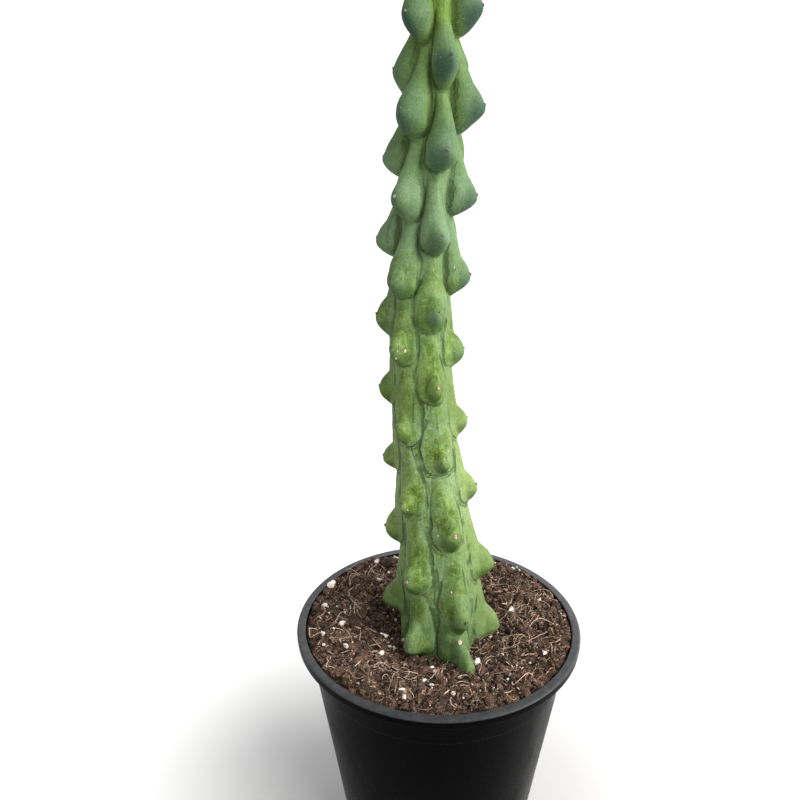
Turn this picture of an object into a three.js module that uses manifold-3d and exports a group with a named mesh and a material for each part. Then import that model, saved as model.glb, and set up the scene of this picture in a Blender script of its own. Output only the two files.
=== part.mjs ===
// A boobie cactus (a monstrose form of the blue myrtle cactus) growing in a black nursery pot.
//
// The frame: millimetres, +Z up, the origin at the middle of the foot on which the pot stands,
// and -Y towards the viewer. Three solids are made:
//   pot     a tapered plastic pot with a rolled lip, a collar, a foot ring and drain holes
//   soil    potting mix that fills the pot, with clods, perlite grains and bark chips on top
//   cactus  one ribbed stem with its drooping tubercles, and the stump that stands in the soil
//
// The stem is a surface around a swaying axis. A point on it is given by the distance q along the
// stem, measured up from the level of the pot's lip, and by an angle around it. Its tubercles are
// drops raised from that surface by a formula, set in whorls of three that alternate over six ribs.

import * as THREE from "three";
import { mergeVertices } from "three/addons/utils/BufferGeometryUtils.js";
import Module from "manifold-3d";

const wasm = await Module();
wasm.setup();

// Pot
const POT_HEIGHT = 138;
const LIP_RADIUS = 76;
const LIP_WIDTH = 4.6;
const LIP_SKIRT = 5;
const LIP_ROUNDING = 0.9;
const LIP_TAPER = 0.4;
const WALL = 1.6;
const COLLAR_DEPTH = 21;
const COLLAR_STEP = 0.6;
const WALL_TOP_RADIUS = 70.6;
const WALL_BOTTOM_RADIUS = 50.4;
const FOOT_CHAMFER = 1.6;
const FOOT_WIDTH = 8;
const FLOOR_RAISE = 3.5;
const FLOOR_THICKNESS = 2;
const FLOOR_CORNER = 3;
const DRAIN_RADIUS = 4.5;
const DRAIN_RING_RADIUS = 29;
const DRAIN_COUNT = 6;
const DRAIN_SIDES = 16;
const POT_SIDES = 64;

// Soil
const GAP = 0.35;
const SOIL_SIDES = 60;
const SOIL_RING_STEP = 4.8;
const SOIL_BELOW_LIP = 1.2;
const SOIL_HOLLOW_DEPTH = 8.2;
const SOIL_HOLLOW_RADIUS = 44;
const CLOD_HEIGHT = 2.6;
const CLOD_SIZE = 9;
const CRUMB_SHARE = 0.6;
const SOIL_CENTRE_RADIUS = 6;
const SOIL_FOOT_CORNER = 4;
const PERLITE_COUNT = 54;
const PERLITE_SIZE = [1.3, 2.5];
const PERLITE_REACH = [34, 66];
const PERLITE_SEED = 11;
// A grain's corners stand out by these shares of its size, and its middle by this share above the soil
const GRAIN_UNEVENNESS = [0.75, 1.25];
const GRAIN_RISE = 0.25;
const CHIP_TAPER = 0.45;
const CHIP_RISE = 0.1;
const BARK_CHIPS = [
  { x: -6, y: -57, turn: 18, size: [11, 4.4, 3] },
  { x: -40, y: -42, turn: -35, size: [8, 4.6, 3.2] },
  { x: 35, y: -27, turn: 12, size: [14, 5.4, 4.4] },
  { x: 42, y: 22, turn: 70, size: [9, 4, 2.8] },
  { x: -45, y: 20, turn: 25, size: [9, 4.2, 3] },
];

// Stem
const RIBS = 6;
const COLUMNS_PER_RIB = 8;
const ROW_STEP = 3.5;
const STUMP_ROW_STEP = 9;
const FRONT_RIB_AZIMUTH = 26;
const TWIST_PER_MM = 0.035;
const FOOT_OF_AXIS = [1.4, 0];
const SWAY = 9;
const SWAY_LENGTH = 300;
const DRIFT_PER_MM = 0.01;
const LEAN = 50;
const LEAN_LENGTH = 230;
// Near its foot the stem stands more upright: how much less it leans there, and over what height
const FOOT_UPRIGHT = 4.5;
const FOOT_UPRIGHT_LENGTH = 40;
// The radius of the core between the tubercles, at distances along the stem
const CORE_RADIUS = [
  [-10, 21], [20, 20.8], [60, 18.6], [100, 16.2], [150, 15.4], [200, 13.3], [240, 11.6],
  [290, 9.4], [325, 10.8],
];
const FURROW_DEPTH = 1;
const SHOULDER = 322;
const STEM_TIP = 340;
const STUMP_TOP = -26;
const STUMP_BLEND = 8;
const STUMP_BOTTOM = -70;
const STUMP_RADIUS = 17;
const STUMP_END_RADIUS = 10;

// A tubercle that stands half in the soil in front, below the first whorl
const LOW_TUBERCLE = { rib: 0, level: -9, turn: -8 };
// Whorls of tubercles: the first one, and the distance from one to the next, which grows and waves
const FIRST_WHORL = -3;
const WHORL_STEP = 18.2;
const WHORL_STEP_GROWTH = 0.04;
const GROWTH_WAVE = 2.2;
const GROWTH_WAVE_WHORLS = 17;
// The lowest whorls sit lower, crowded together.
const BASE_CROWDING = 5.8;
const CROWDED_WHORL = 1.3;
const CROWDED_WHORLS_SPREAD = 0.75;
// The upper whorls tilt sideways, and halfway up they are lifted at the front.
const WHORL_TILT = 2.3;
const TILT_STARTS = 140;
const TILT_FULL = 190;
const FRONT_LIFT = 4;
const FRONT_LIFT_LEVEL = 148;
const FRONT_LIFT_SPREAD = 26;
// What is left to chance in the tubercles' levels, in millimetres, and turns, in degrees
const LEVEL_SPREAD = 0.6;
const TURN_SPREAD = 2;
// How far the old tubercles of each rib stand off its line, in degrees, and where that fades out
const RIB_TURNS = [-1.5, 2, -3, 3, -2, -2.5];
const RIB_TURNS_FADE = [90, 150];
const LAST_FULL_WHORL = 17;
// By how much a tubercle's sizes vary: the tip's radius in millimetres, the others as shares
const VARIATION = { body: 0.12, tip: 0.8, half: 0.05, topHalf: 0.1, above: 0.05, below: 0.08 };
// Two whorls of small tubercles without noses close the top.
const APEX_SHAPE = { topHalf: 0.6, below: 1.4, ridge: 1, section: 0.6, chin: 0.8 };
const APEX_WHORLS = [
  { level: 329, rise: 4.2, halfWidth: 5.4 },
  { level: 335, rise: 2.6, halfWidth: 4 },
];
// How far the tubercle tips stand from the axis, at distances along the stem
const TIP_RADIUS = [
  [-9, 43], [-4, 32], [20, 29.6], [52, 26.8], [90, 22.6], [115, 21.6], [163, 22.6],
  [190, 24.2], [215, 23.6], [240, 22.2], [262, 22.8], [280, 19.6], [318, 17],
];
// A tubercle is a drop-shaped body with a nose on it. How far the drop reaches above and below the
// tip, at distances along the stem
const DROP_ABOVE = [[0, 32], [60, 31], [160, 26], [240, 29], [262, 28], [278, 22]];
const DROP_BELOW = [
  [0, 8], [50, 9.4], [75, 7], [90, 6.6], [107, 8.8], [160, 9.2], [167, 11.4], [200, 7.8],
  [221, 9.8], [238, 8.4], [262, 12.8], [282, 13.4], [300, 11],
];
// A drop's half width is an arc of this radius or of the core's, whichever is the larger.
const SPREAD_RADIUS = 14.4;
const DROP_HALF_WIDTH = [
  [-9, 9.5], [0, 9.8], [60, 9.4], [150, 8.6], [166, 9.4], [181, 7.4], [280, 7.6],
];
const DROP_TOP_HALF_WIDTH = [[0, 4], [200, 4.6], [260, 4.2]];
const BODY_RISE = [
  [-9, 7], [0, 3.8], [33, 3.4], [52, 2.8], [75, 1.7], [125, 1], [148, 2], [163, 3.6], [183, 7.4],
  [202, 8.4], [240, 10.6],
];
// How full the drop's ridge above its tip, its section and its underside are: less is fuller
const RIDGE_POWER = [[190, 1], [240, 1.2]];
const SECTION_POWER = [[0, 1], [110, 0.9], [160, 0.6], [200, 0.5]];
const CHIN_POWER = [[0, 0.5], [130, 0.4], [200, 0.6], [250, 0.66]];
const TIP_ROUNDING = 5.5;
const NOSE_ABOVE = [[-9, 13], [0, 13], [52, 11], [90, 8], [107, 8.4], [163, 10], [250, 10]];
const NOSE_BELOW = [[-9, 7], [0, 8], [52, 9.4], [90, 6.8], [107, 8.4], [163, 8.8], [250, 8]];
const NOSE_HALF_WIDTH = [[-9, 7.6], [0, 7.4], [52, 6.6], [90, 5.2], [125, 5.8], [250, 7]];
const NOSE_FULLNESS = 1.35;
const NOSE_POWER = 1.5;
// A nose reaches at most this far below its drop.
const NOSE_OVERHANG = 2;
// A small keel runs down the nose from its tip.
const KEEL_HEIGHT = 0.5;
const KEEL_HALF_WIDTH = 1.9;
const KEEL_ABOVE = 1.8;
const KEEL_BELOW = 4.5;
// The drops' edges wander from a straight line by about this much, but not near the tips.
const WANDER = 1.1;
const WANDER_STARTS = 10;
const WANDER_WAVES = [
  { length: 11, turns: 2, share: 1, phase: 0 },
  { length: 5.3, turns: -3, share: 0.6, phase: 1 },
];
const AREOLE_RISE = 0.7;
const AREOLE_RADIUS = 1.5;
const AREOLE_ABOVE_TIP = 1.2;

const MERGE_DISTANCE = 1e-3;

const clamp = THREE.MathUtils.clamp;
const lerp = THREE.MathUtils.lerp;
const smoothstep = THREE.MathUtils.smoothstep;
const rad = THREE.MathUtils.degToRad;

// A number from 0 to 1 that is always the same for the same two numbers.
function scatter(a, b) {
  const s = Math.sin(a * 12.9898 + b * 78.233) * 43758.5453;
  return s - Math.floor(s);
}

// Value noise from 0 to 1 over a plane.
function noise(x, y, seed) {
  const i = Math.floor(x);
  const j = Math.floor(y);
  const u = smoothstep(x - i, 0, 1);
  const v = smoothstep(y - j, 0, 1);
  const corner = (di, dj) => scatter(i + di + 31 * seed, j + dj);
  return lerp(lerp(corner(0, 0), corner(1, 0), u), lerp(corner(0, 1), corner(1, 1), u), v);
}

// A value read off a line of [position, value] pairs, eased between them.
function along(table, at) {
  if (at <= table[0][0]) return table[0][1];
  for (let i = 1; i < table.length; i++) {
    const [from, low] = table[i - 1];
    const [to, high] = table[i];
    if (at < to) return lerp(low, high, smoothstep(at, from, to));
  }
  return table[table.length - 1][1];
}

// Solids

// The geometry as a closed solid: shared corners are merged and faces with no area are dropped.
function toSolid(geometry) {
  const bare = new THREE.BufferGeometry();
  bare.setAttribute("position", geometry.getAttribute("position"));
  if (geometry.index) bare.setIndex(geometry.index);
  const merged = mergeVertices(bare, MERGE_DISTANCE);
  const corners = merged.index.array;
  const kept = [];
  for (let i = 0; i < corners.length; i += 3) {
    const [a, b, c] = corners.slice(i, i + 3);
    if (a !== b && b !== c && c !== a) kept.push(a, b, c);
  }
  const vertProperties = new Float32Array(merged.getAttribute("position").array);
  return new wasm.Manifold(new wasm.Mesh({ numProp: 3, vertProperties, triVerts: new Uint32Array(kept) }));
}

// The largest body of a solid, without loose scraps that a cut left behind.
function largestBody(solid) {
  return solid.decompose().reduce((best, body) => (body.volume() > best.volume() ? body : best));
}

function toGeometry(solid) {
  const mesh = solid.getMesh();
  const geometry = new THREE.BufferGeometry();
  geometry.setAttribute("position", new THREE.BufferAttribute(new Float32Array(mesh.vertProperties), 3));
  geometry.setIndex(new THREE.BufferAttribute(new Uint32Array(mesh.triVerts), 1));
  geometry.computeVertexNormals();
  return geometry;
}

// A closed surface from rings of points, from the lowest ring to the highest, with a point at each end.
function ringSurface(low, rings, high) {
  const sides = rings[0].length;
  const points = [low, ...rings.flat(), high];
  const at = (ring, side) => 1 + ring * sides + (side % sides);
  const faces = [];
  for (let s = 0; s < sides; s++) {
    faces.push(0, at(0, s + 1), at(0, s));
    for (let r = 0; r + 1 < rings.length; r++) {
      faces.push(at(r, s), at(r, s + 1), at(r + 1, s + 1));
      faces.push(at(r, s), at(r + 1, s + 1), at(r + 1, s));
    }
    faces.push(at(rings.length - 1, s), at(rings.length - 1, s + 1), points.length - 1);
  }
  const geometry = new THREE.BufferGeometry();
  const numbers = points.flatMap((p) => p.toArray());
  geometry.setAttribute("position", new THREE.Float32BufferAttribute(numbers, 3));
  geometry.setIndex(faces);
  return geometry;
}

// Pot

// The radius of the body's outer face, at a height above the foot.
function potRadius(z) {
  return lerp(WALL_BOTTOM_RADIUS, WALL_TOP_RADIUS, z / POT_HEIGHT);
}

function makePot() {
  const top = POT_HEIGHT;
  const collar = top - COLLAR_DEPTH;
  const skirt = top - LIP_SKIRT;
  const footInner = WALL_BOTTOM_RADIUS - FOOT_WIDTH;
  const floorTop = FLOOR_RAISE + FLOOR_THICKNESS;
  const inner = (z) => potRadius(z) - WALL;
  const profile = [
    [0, FLOOR_RAISE],
    [footInner - FLOOR_RAISE, FLOOR_RAISE],
    [footInner, 0],
    [WALL_BOTTOM_RADIUS - FOOT_CHAMFER, 0],
    [potRadius(FOOT_CHAMFER), FOOT_CHAMFER],
    [potRadius(collar), collar],
    [potRadius(collar) + COLLAR_STEP, collar + COLLAR_STEP],
    [potRadius(skirt) + COLLAR_STEP, skirt],
    [LIP_RADIUS - LIP_TAPER, skirt],
    [LIP_RADIUS, top - LIP_ROUNDING],
    [LIP_RADIUS - LIP_ROUNDING, top],
    [LIP_RADIUS - LIP_WIDTH + LIP_ROUNDING / 2, top],
    [LIP_RADIUS - LIP_WIDTH, top - LIP_ROUNDING / 2],
    [inner(skirt), skirt],
    [inner(floorTop + FLOOR_CORNER), floorTop + FLOOR_CORNER],
    [inner(floorTop) - FLOOR_CORNER, floorTop],
    [0, floorTop],
  ];
  const lathe = new THREE.LatheGeometry(profile.map(([r, z]) => new THREE.Vector2(r, z)), POT_SIDES);
  lathe.rotateX(Math.PI / 2);
  let pot = toSolid(lathe);
  for (let i = 0; i <= DRAIN_COUNT; i++) {
    const hole = new THREE.CylinderGeometry(DRAIN_RADIUS, DRAIN_RADIUS, 4 * floorTop, DRAIN_SIDES);
    hole.rotateX(Math.PI / 2);
    const angle = (2 * Math.PI * i) / DRAIN_COUNT;
    const out = i < DRAIN_COUNT ? DRAIN_RING_RADIUS : 0;
    hole.translate(out * Math.cos(angle), out * Math.sin(angle), 0);
    pot = pot.subtract(toSolid(hole));
  }
  return toGeometry(pot);
}

// Stem

// The middle of the stem at a height above the lip, in the part's frame.
function axis(height) {
  const wave = Math.sin((Math.PI * height) / SWAY_LENGTH) ** 2;
  const x = FOOT_OF_AXIS[0] - DRIFT_PER_MM * height - SWAY * wave;
  const upright = FOOT_UPRIGHT * Math.tanh(height / FOOT_UPRIGHT_LENGTH);
  const y = FOOT_OF_AXIS[1] + LEAN * (1 - Math.exp(-height / LEAN_LENGTH)) - upright;
  return new THREE.Vector3(x, y, POT_HEIGHT + height);
}

// Three directions at a height: to the right, away from the viewer, and up along the stem.
function stemFrame(height) {
  const up = axis(height + 1).sub(axis(height - 1)).normalize();
  const away = new THREE.Vector3(0, 1, 0).addScaledVector(up, -up.y).normalize();
  return { right: new THREE.Vector3().crossVectors(away, up), away, up };
}

function azimuth(rib, q) {
  return rad(FRONT_RIB_AZIMUTH - TWIST_PER_MM * q + (360 / RIBS) * rib);
}

// Where a whorl's tubercle has its tip.
function tubercleLevel(n, rib) {
  const wave = GROWTH_WAVE * Math.sin((2 * Math.PI * n) / GROWTH_WAVE_WHORLS);
  const crowding = BASE_CROWDING * Math.exp(-(((n - CROWDED_WHORL) / CROWDED_WHORLS_SPREAD) ** 2));
  const level = FIRST_WHORL + WHORL_STEP * n + WHORL_STEP_GROWTH * n * n + wave - crowding;
  const tilt = WHORL_TILT * smoothstep(level, TILT_STARTS, TILT_FULL);
  const lift = FRONT_LIFT * Math.exp(-(((level - FRONT_LIFT_LEVEL) / FRONT_LIFT_SPREAD) ** 2));
  const uneven = LEVEL_SPREAD * (2 * scatter(n + 3, rib + 7) - 1);
  const stands = azimuth(rib, level);
  return level + tilt * Math.sin(stands) + lift * Math.cos(stands) + uneven;
}

// A tubercle as a drop: its rib, the level of its tip, and how far it rises and spreads. Its sizes
// vary a little with its whorl and its rib.
function makeDrop(n, { rib, level, turn }) {
  const chance = (k) => 2 * scatter(n + 3 * k, rib + 7 * k) - 1;
  const vary = (k, amount) => 1 + amount * chance(k);
  return {
    rib,
    level,
    turn: rad(turn),
    bodyRise: along(BODY_RISE, level) * vary(8, VARIATION.body),
    tipRadius: along(TIP_RADIUS, level) + VARIATION.tip * chance(3),
    halfWidth: along(DROP_HALF_WIDTH, level) * vary(4, VARIATION.half),
    topHalfWidth: along(DROP_TOP_HALF_WIDTH, level) * vary(5, VARIATION.topHalf),
    above: Math.min(along(DROP_ABOVE, level) * vary(6, VARIATION.above), STEM_TIP - level),
    below: along(DROP_BELOW, level) * vary(7, VARIATION.below),
    ridge: along(RIDGE_POWER, level),
    section: along(SECTION_POWER, level),
    chin: along(CHIN_POWER, level),
    noseAbove: along(NOSE_ABOVE, level),
    noseBelow: along(NOSE_BELOW, level),
    noseHalfWidth: along(NOSE_HALF_WIDTH, level),
    keel: KEEL_HEIGHT,
  };
}

function makeDrops() {
  const drops = [makeDrop(-1, LOW_TUBERCLE)];
  for (let n = 0; n <= LAST_FULL_WHORL; n++) {
    for (let rib = n % 2 === 0 ? 1 : 0; rib < RIBS; rib += 2) {
      const level = tubercleLevel(n, rib);
      const shift = RIB_TURNS[rib] * (1 - smoothstep(level, ...RIB_TURNS_FADE));
      const turn = TURN_SPREAD * (2 * scatter(n + 6, rib + 14) - 1);
      drops.push(makeDrop(n, { rib, level, turn: turn + shift }));
    }
  }
  APEX_WHORLS.forEach(({ level, rise, halfWidth }, i) => {
    for (let rib = (i + LAST_FULL_WHORL) % 2 ? 0 : 1; rib < RIBS; rib += 2) {
      drops.push({
        ...APEX_SHAPE, rib, level, turn: 0, bodyRise: rise, tipRadius: 0,
        halfWidth, topHalfWidth: APEX_SHAPE.topHalf * halfWidth,
        above: STEM_TIP - level, below: APEX_SHAPE.below * halfWidth,
        noseAbove: halfWidth, noseBelow: halfWidth, noseHalfWidth: halfWidth, keel: 0,
      });
    }
  });
  return drops;
}

// How far a drop's body stands out of the core, at a distance v above its tip and off its rib.
function bodyRise(drop, v, arc) {
  const reach = v > 0 ? drop.above : drop.below;
  const rounded = (length) => Math.hypot(length, TIP_ROUNDING) - TIP_ROUNDING;
  const share = rounded(v) / rounded(reach);
  if (share >= 1) return 0;
  const upperHalf = lerp(drop.topHalfWidth, drop.halfWidth, smoothstep(1 - share, 0, 1));
  const half = v > 0 ? upperHalf : drop.halfWidth * Math.sqrt(1 - share * share);
  const across = arc / half;
  if (Math.abs(across) >= 1) return 0;
  const ridge = (1 - share) ** (v > 0 ? drop.ridge : drop.chin);
  return drop.bodyRise * ridge * (1 - across * across) ** drop.section;
}

// How far the nose and its keel stand out of the body.
function noseRise(drop, v, sideways, height) {
  const reach = v > 0 ? drop.noseAbove : drop.noseBelow;
  const share = (v / reach) ** 2 + (sideways / drop.noseHalfWidth) ** 2;
  const nose = height * Math.max(0, 1 - share ** NOSE_FULLNESS) ** NOSE_POWER;
  const down = v > 0 ? v / KEEL_ABOVE : v / KEEL_BELOW;
  return nose + drop.keel * Math.exp(-((sideways / KEEL_HALF_WIDTH) ** 2) - down ** 2);
}

const DROPS = makeDrops();

// The height of the stem's relief above its core.
function relief(q, angle) {
  const wave = (w) => w.share * Math.sin(q / w.length + w.turns * angle + w.phase);
  const wander = WANDER * WANDER_WAVES.reduce((total, w) => total + wave(w), 0);
  const spread = Math.max(along(CORE_RADIUS, q), SPREAD_RADIUS);
  let body = 0;
  let nose = 0;
  let nearest = Infinity;
  for (const drop of DROPS) {
    const v = q - drop.level;
    if (v > drop.above || -v > drop.below + NOSE_OVERHANG) continue;
    let off = angle - azimuth(drop.rib, q) - drop.turn;
    off -= 2 * Math.PI * Math.round(off / (2 * Math.PI));
    const arc = spread * off + wander * smoothstep(Math.abs(v), 0, WANDER_STARTS);
    body = Math.max(body, bodyRise(drop, v, arc));
    const core = along(CORE_RADIUS, drop.level);
    const noseHeight = Math.max(drop.tipRadius - core - drop.bodyRise, 0);
    const sideways = (core + drop.bodyRise + noseHeight) * off;
    nose = Math.max(nose, noseRise(drop, v, sideways, noseHeight));
    nearest = Math.min(nearest, Math.hypot(sideways, v - AREOLE_ABOVE_TIP));
  }
  return body + nose + (nearest < AREOLE_RADIUS ? AREOLE_RISE : 0);
}

// A point of the stem's surface, pushed out by grow.
function stemPoint(q, angle, grow) {
  const furrow = FURROW_DEPTH * (0.5 - 0.5 * Math.cos(RIBS * (angle - azimuth(0, q))));
  const domeRadius = along(CORE_RADIUS, SHOULDER);
  const climb = clamp((q - SHOULDER) / domeRadius, 0, Math.PI / 2);
  const flat = Math.cos(climb);
  const buried = smoothstep(q, STUMP_TOP, STUMP_TOP + STUMP_BLEND);
  const stump = lerp(STUMP_END_RADIUS, STUMP_RADIUS, smoothstep(q, STUMP_BOTTOM, STUMP_TOP));
  const core = lerp(stump, (along(CORE_RADIUS, q) - furrow) * flat, buried);
  const out = relief(q, angle) * buried + grow;
  const radius = core + out * flat;
  const height = Math.min(q, SHOULDER) + (domeRadius + out) * Math.sin(climb);
  const { right, away, up } = stemFrame(Math.min(q, SHOULDER));
  return axis(Math.min(q, SHOULDER))
    .addScaledVector(up, height - Math.min(q, SHOULDER))
    .addScaledVector(right, radius * Math.sin(angle))
    .addScaledVector(away, -radius * Math.cos(angle));
}

// The stem as a solid. Its rows are coarse in the soil and even above it.
function makeStem(grow) {
  const top = SHOULDER + (along(CORE_RADIUS, SHOULDER) * Math.PI) / 2;
  const stumpRows = Math.round((STUMP_TOP - STUMP_BOTTOM) / STUMP_ROW_STEP);
  const rows = Math.round((top - STUMP_TOP) / ROW_STEP);
  const levels = [
    ...Array.from({ length: stumpRows }, (_, i) => lerp(STUMP_BOTTOM, STUMP_TOP, i / stumpRows)),
    ...Array.from({ length: rows }, (_, i) => lerp(STUMP_TOP, top, i / rows)),
  ];
  const columns = RIBS * COLUMNS_PER_RIB;
  const rings = levels.map((q) =>
    Array.from({ length: columns }, (_, i) =>
      stemPoint(q, azimuth(0, q) + (2 * Math.PI * i) / columns, grow)),
  );
  const low = axis(STUMP_BOTTOM);
  low.z -= STUMP_END_RADIUS / 2 + grow;
  const high = stemPoint(top, 0, grow);
  return toSolid(ringSurface(low, rings, high));
}

// Soil

// The height of the soil's surface, before clods, at a distance from the pot's middle line.
function soilLevel(x, y) {
  const fromStem = Math.hypot(x - FOOT_OF_AXIS[0], y - FOOT_OF_AXIS[1]);
  const hollow = SOIL_HOLLOW_DEPTH * Math.exp(-((fromStem / SOIL_HOLLOW_RADIUS) ** 4));
  return POT_HEIGHT - SOIL_BELOW_LIP - hollow;
}

function soilSurface(x, y) {
  const clods = noise(x / CLOD_SIZE, y / CLOD_SIZE, 1) - 0.5;
  const crumbs = noise((2 * x) / CLOD_SIZE, (2 * y) / CLOD_SIZE, 2) - 0.5;
  return soilLevel(x, y) + CLOD_HEIGHT * (clods + CRUMB_SHARE * crumbs);
}

// A grain with uneven corners, sunk to about its middle in the soil.
function grain(x, y, size, seed) {
  const corners = new THREE.OctahedronGeometry(1, 0).deleteAttribute("normal").deleteAttribute("uv");
  const shape = mergeVertices(corners);
  const position = shape.getAttribute("position");
  for (let i = 0; i < position.count; i++) {
    const scale = size * lerp(...GRAIN_UNEVENNESS, scatter(seed, i));
    position.setXYZ(i, position.getX(i) * scale, position.getY(i) * scale, position.getZ(i) * scale);
  }
  shape.rotateZ(2 * Math.PI * scatter(seed, 20));
  shape.rotateX(2 * Math.PI * scatter(seed, 21));
  shape.translate(x, y, soilSurface(x, y) + GRAIN_RISE * size);
  return toSolid(shape);
}

function barkChip({ x, y, turn, size }) {
  const shape = new THREE.BoxGeometry(size[0], size[1], size[2], 2, 1, 1);
  const position = shape.getAttribute("position");
  for (let i = 0; i < position.count; i++) {
    const taper = 1 - 2 * CHIP_TAPER * Math.abs(position.getX(i) / size[0]);
    position.setY(i, position.getY(i) * taper);
    position.setZ(i, position.getZ(i) * (position.getZ(i) > 0 ? taper : 1));
  }
  shape.rotateZ(rad(turn));
  shape.translate(x, y, soilSurface(x, y) + CHIP_RISE * size[2]);
  return toSolid(shape);
}

function makeSoil() {
  const floor = FLOOR_RAISE + FLOOR_THICKNESS + GAP;
  const inside = (z) => potRadius(z) - WALL - GAP;
  const ring = (radius, height) =>
    Array.from({ length: SOIL_SIDES }, (_, i) => {
      const angle = (2 * Math.PI * i) / SOIL_SIDES;
      const x = radius * Math.cos(angle);
      const y = radius * Math.sin(angle);
      return new THREE.Vector3(x, y, height ?? soilSurface(x, y));
    });
  // The pot's wall has flat sides, so the soil stays inside their middles as well as their corners.
  const flats = Math.cos(Math.PI / POT_SIDES);
  const edge = inside(POT_HEIGHT - SOIL_BELOW_LIP - CLOD_HEIGHT) * flats;
  const low = floor + FLOOR_CORNER;
  const rings = [ring((inside(low) - SOIL_FOOT_CORNER) * flats, floor), ring(inside(low) * flats, low)];
  const count = Math.round((edge - SOIL_CENTRE_RADIUS) / SOIL_RING_STEP);
  for (let i = 0; i <= count; i++) {
    rings.push(ring(lerp(edge, SOIL_CENTRE_RADIUS, i / count)));
  }
  const bottom = new THREE.Vector3(0, 0, floor);
  const middle = new THREE.Vector3(0, 0, soilSurface(0, 0));
  let soil = toSolid(ringSurface(bottom, rings, middle));
  for (let i = 0; i < PERLITE_COUNT; i++) {
    const angle = 2 * Math.PI * scatter(PERLITE_SEED, i);
    const out = lerp(...PERLITE_REACH, Math.sqrt(scatter(PERLITE_SEED + 1, i)));
    const size = lerp(...PERLITE_SIZE, scatter(PERLITE_SEED + 2, i));
    soil = soil.add(grain(out * Math.cos(angle), out * Math.sin(angle), size, i));
  }
  for (const chip of BARK_CHIPS) soil = soil.add(barkChip(chip));
  return toGeometry(largestBody(soil.subtract(makeStem(GAP))));
}

// The assembly

const blackPlastic = new THREE.MeshStandardMaterial({ color: 0x16171a, roughness: 0.42, metalness: 0 });
const pottingMix = new THREE.MeshStandardMaterial({ color: 0x3d2c24, roughness: 0.97, metalness: 0 });
const stemSkin = new THREE.MeshStandardMaterial({ color: 0x6f9650, roughness: 0.55, metalness: 0 });

function part(name, geometry, material) {
  const mesh = new THREE.Mesh(geometry, material);
  mesh.name = name;
  return mesh;
}

const pottedCactus = new THREE.Group();
pottedCactus.add(part("pot", makePot(), blackPlastic));
pottedCactus.add(part("soil", makeSoil(), pottingMix));
pottedCactus.add(part("cactus", toGeometry(makeStem(0)), stemSkin));

export default pottedCactus;
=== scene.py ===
import math
from functools import partial, reduce

import bmesh
import bpy
import numpy as np
from mathutils import Matrix, Vector


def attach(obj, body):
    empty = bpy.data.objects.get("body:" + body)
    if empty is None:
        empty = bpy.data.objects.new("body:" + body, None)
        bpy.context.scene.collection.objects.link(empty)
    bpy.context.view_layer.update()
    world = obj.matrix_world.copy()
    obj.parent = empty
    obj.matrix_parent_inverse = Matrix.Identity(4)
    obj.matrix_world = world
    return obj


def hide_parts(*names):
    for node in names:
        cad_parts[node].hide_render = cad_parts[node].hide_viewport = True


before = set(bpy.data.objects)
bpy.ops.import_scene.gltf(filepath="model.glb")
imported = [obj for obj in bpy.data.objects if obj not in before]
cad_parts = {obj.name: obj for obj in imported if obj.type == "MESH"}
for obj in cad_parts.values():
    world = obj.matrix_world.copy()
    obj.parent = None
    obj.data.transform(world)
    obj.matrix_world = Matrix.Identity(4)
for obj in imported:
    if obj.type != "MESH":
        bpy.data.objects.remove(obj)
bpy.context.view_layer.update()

# Shapes are worked out in millimetres and scaled to metres as they become meshes.
# Materials, lights and the camera are in metres.
MM = 0.001
rng = np.random.default_rng(46)

# Sizes shared with the part

POT_HEIGHT = 138
LIP_RADIUS = 76
LIP_WIDTH = 4.6
LIP_SKIRT = 5
LIP_ROUNDING = 0.9
WALL = 1.6
COLLAR_DEPTH = 21
COLLAR_STEP = 0.6
WALL_TOP_RADIUS = 70.6
WALL_BOTTOM_RADIUS = 50.4
FOOT_CHAMFER = 1.6
FOOT_WIDTH = 8
FLOOR_RAISE = 3.5
FLOOR_THICKNESS = 2
DRAIN_RADIUS = 4.5
DRAIN_RING_RADIUS = 29
DRAIN_COUNT = 6

SOIL_BELOW_LIP = 1.2
SOIL_HOLLOW_DEPTH = 8.2
SOIL_HOLLOW_RADIUS = 44
CLOD_HEIGHT = 2.6
CLOD_SIZE = 9

RIBS = 6
FRONT_RIB_AZIMUTH = 26
TWIST_PER_MM = 0.035
FOOT_OF_AXIS = (1.4, 0)
SWAY = 9
SWAY_LENGTH = 300
DRIFT_PER_MM = 0.01
LEAN = 50
LEAN_LENGTH = 230
FOOT_UPRIGHT = 4.5
FOOT_UPRIGHT_LENGTH = 40
CORE_RADIUS = [(-10, 21), (20, 20.8), (60, 18.6), (100, 16.2), (150, 15.4), (200, 13.3), (240, 11.6),
               (290, 9.4), (325, 10.8)]
FURROW_DEPTH = 1
SHOULDER = 322
STEM_TIP = 340
STUMP_TOP = -26
STUMP_BLEND = 8
STUMP_BOTTOM = -70
STUMP_RADIUS = 17
STUMP_END_RADIUS = 10
LOW_TUBERCLE = dict(rib=0, level=-9, turn=-8)
FIRST_WHORL = -3
WHORL_STEP = 18.2
WHORL_STEP_GROWTH = 0.04
GROWTH_WAVE = 2.2
GROWTH_WAVE_WHORLS = 17
BASE_CROWDING = 5.8
CROWDED_WHORL = 1.3
CROWDED_WHORLS_SPREAD = 0.75
WHORL_TILT = 2.3
TILT_STARTS = 140
TILT_FULL = 190
FRONT_LIFT = 4
FRONT_LIFT_LEVEL = 148
FRONT_LIFT_SPREAD = 26
LEVEL_SPREAD = 0.6
TURN_SPREAD = 2
RIB_TURNS = [-1.5, 2, -3, 3, -2, -2.5]
RIB_TURNS_FADE = [90, 150]
LAST_FULL_WHORL = 17
APEX_WHORLS = [(329, 4.2, 5.4), (335, 2.6, 4)]
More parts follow.
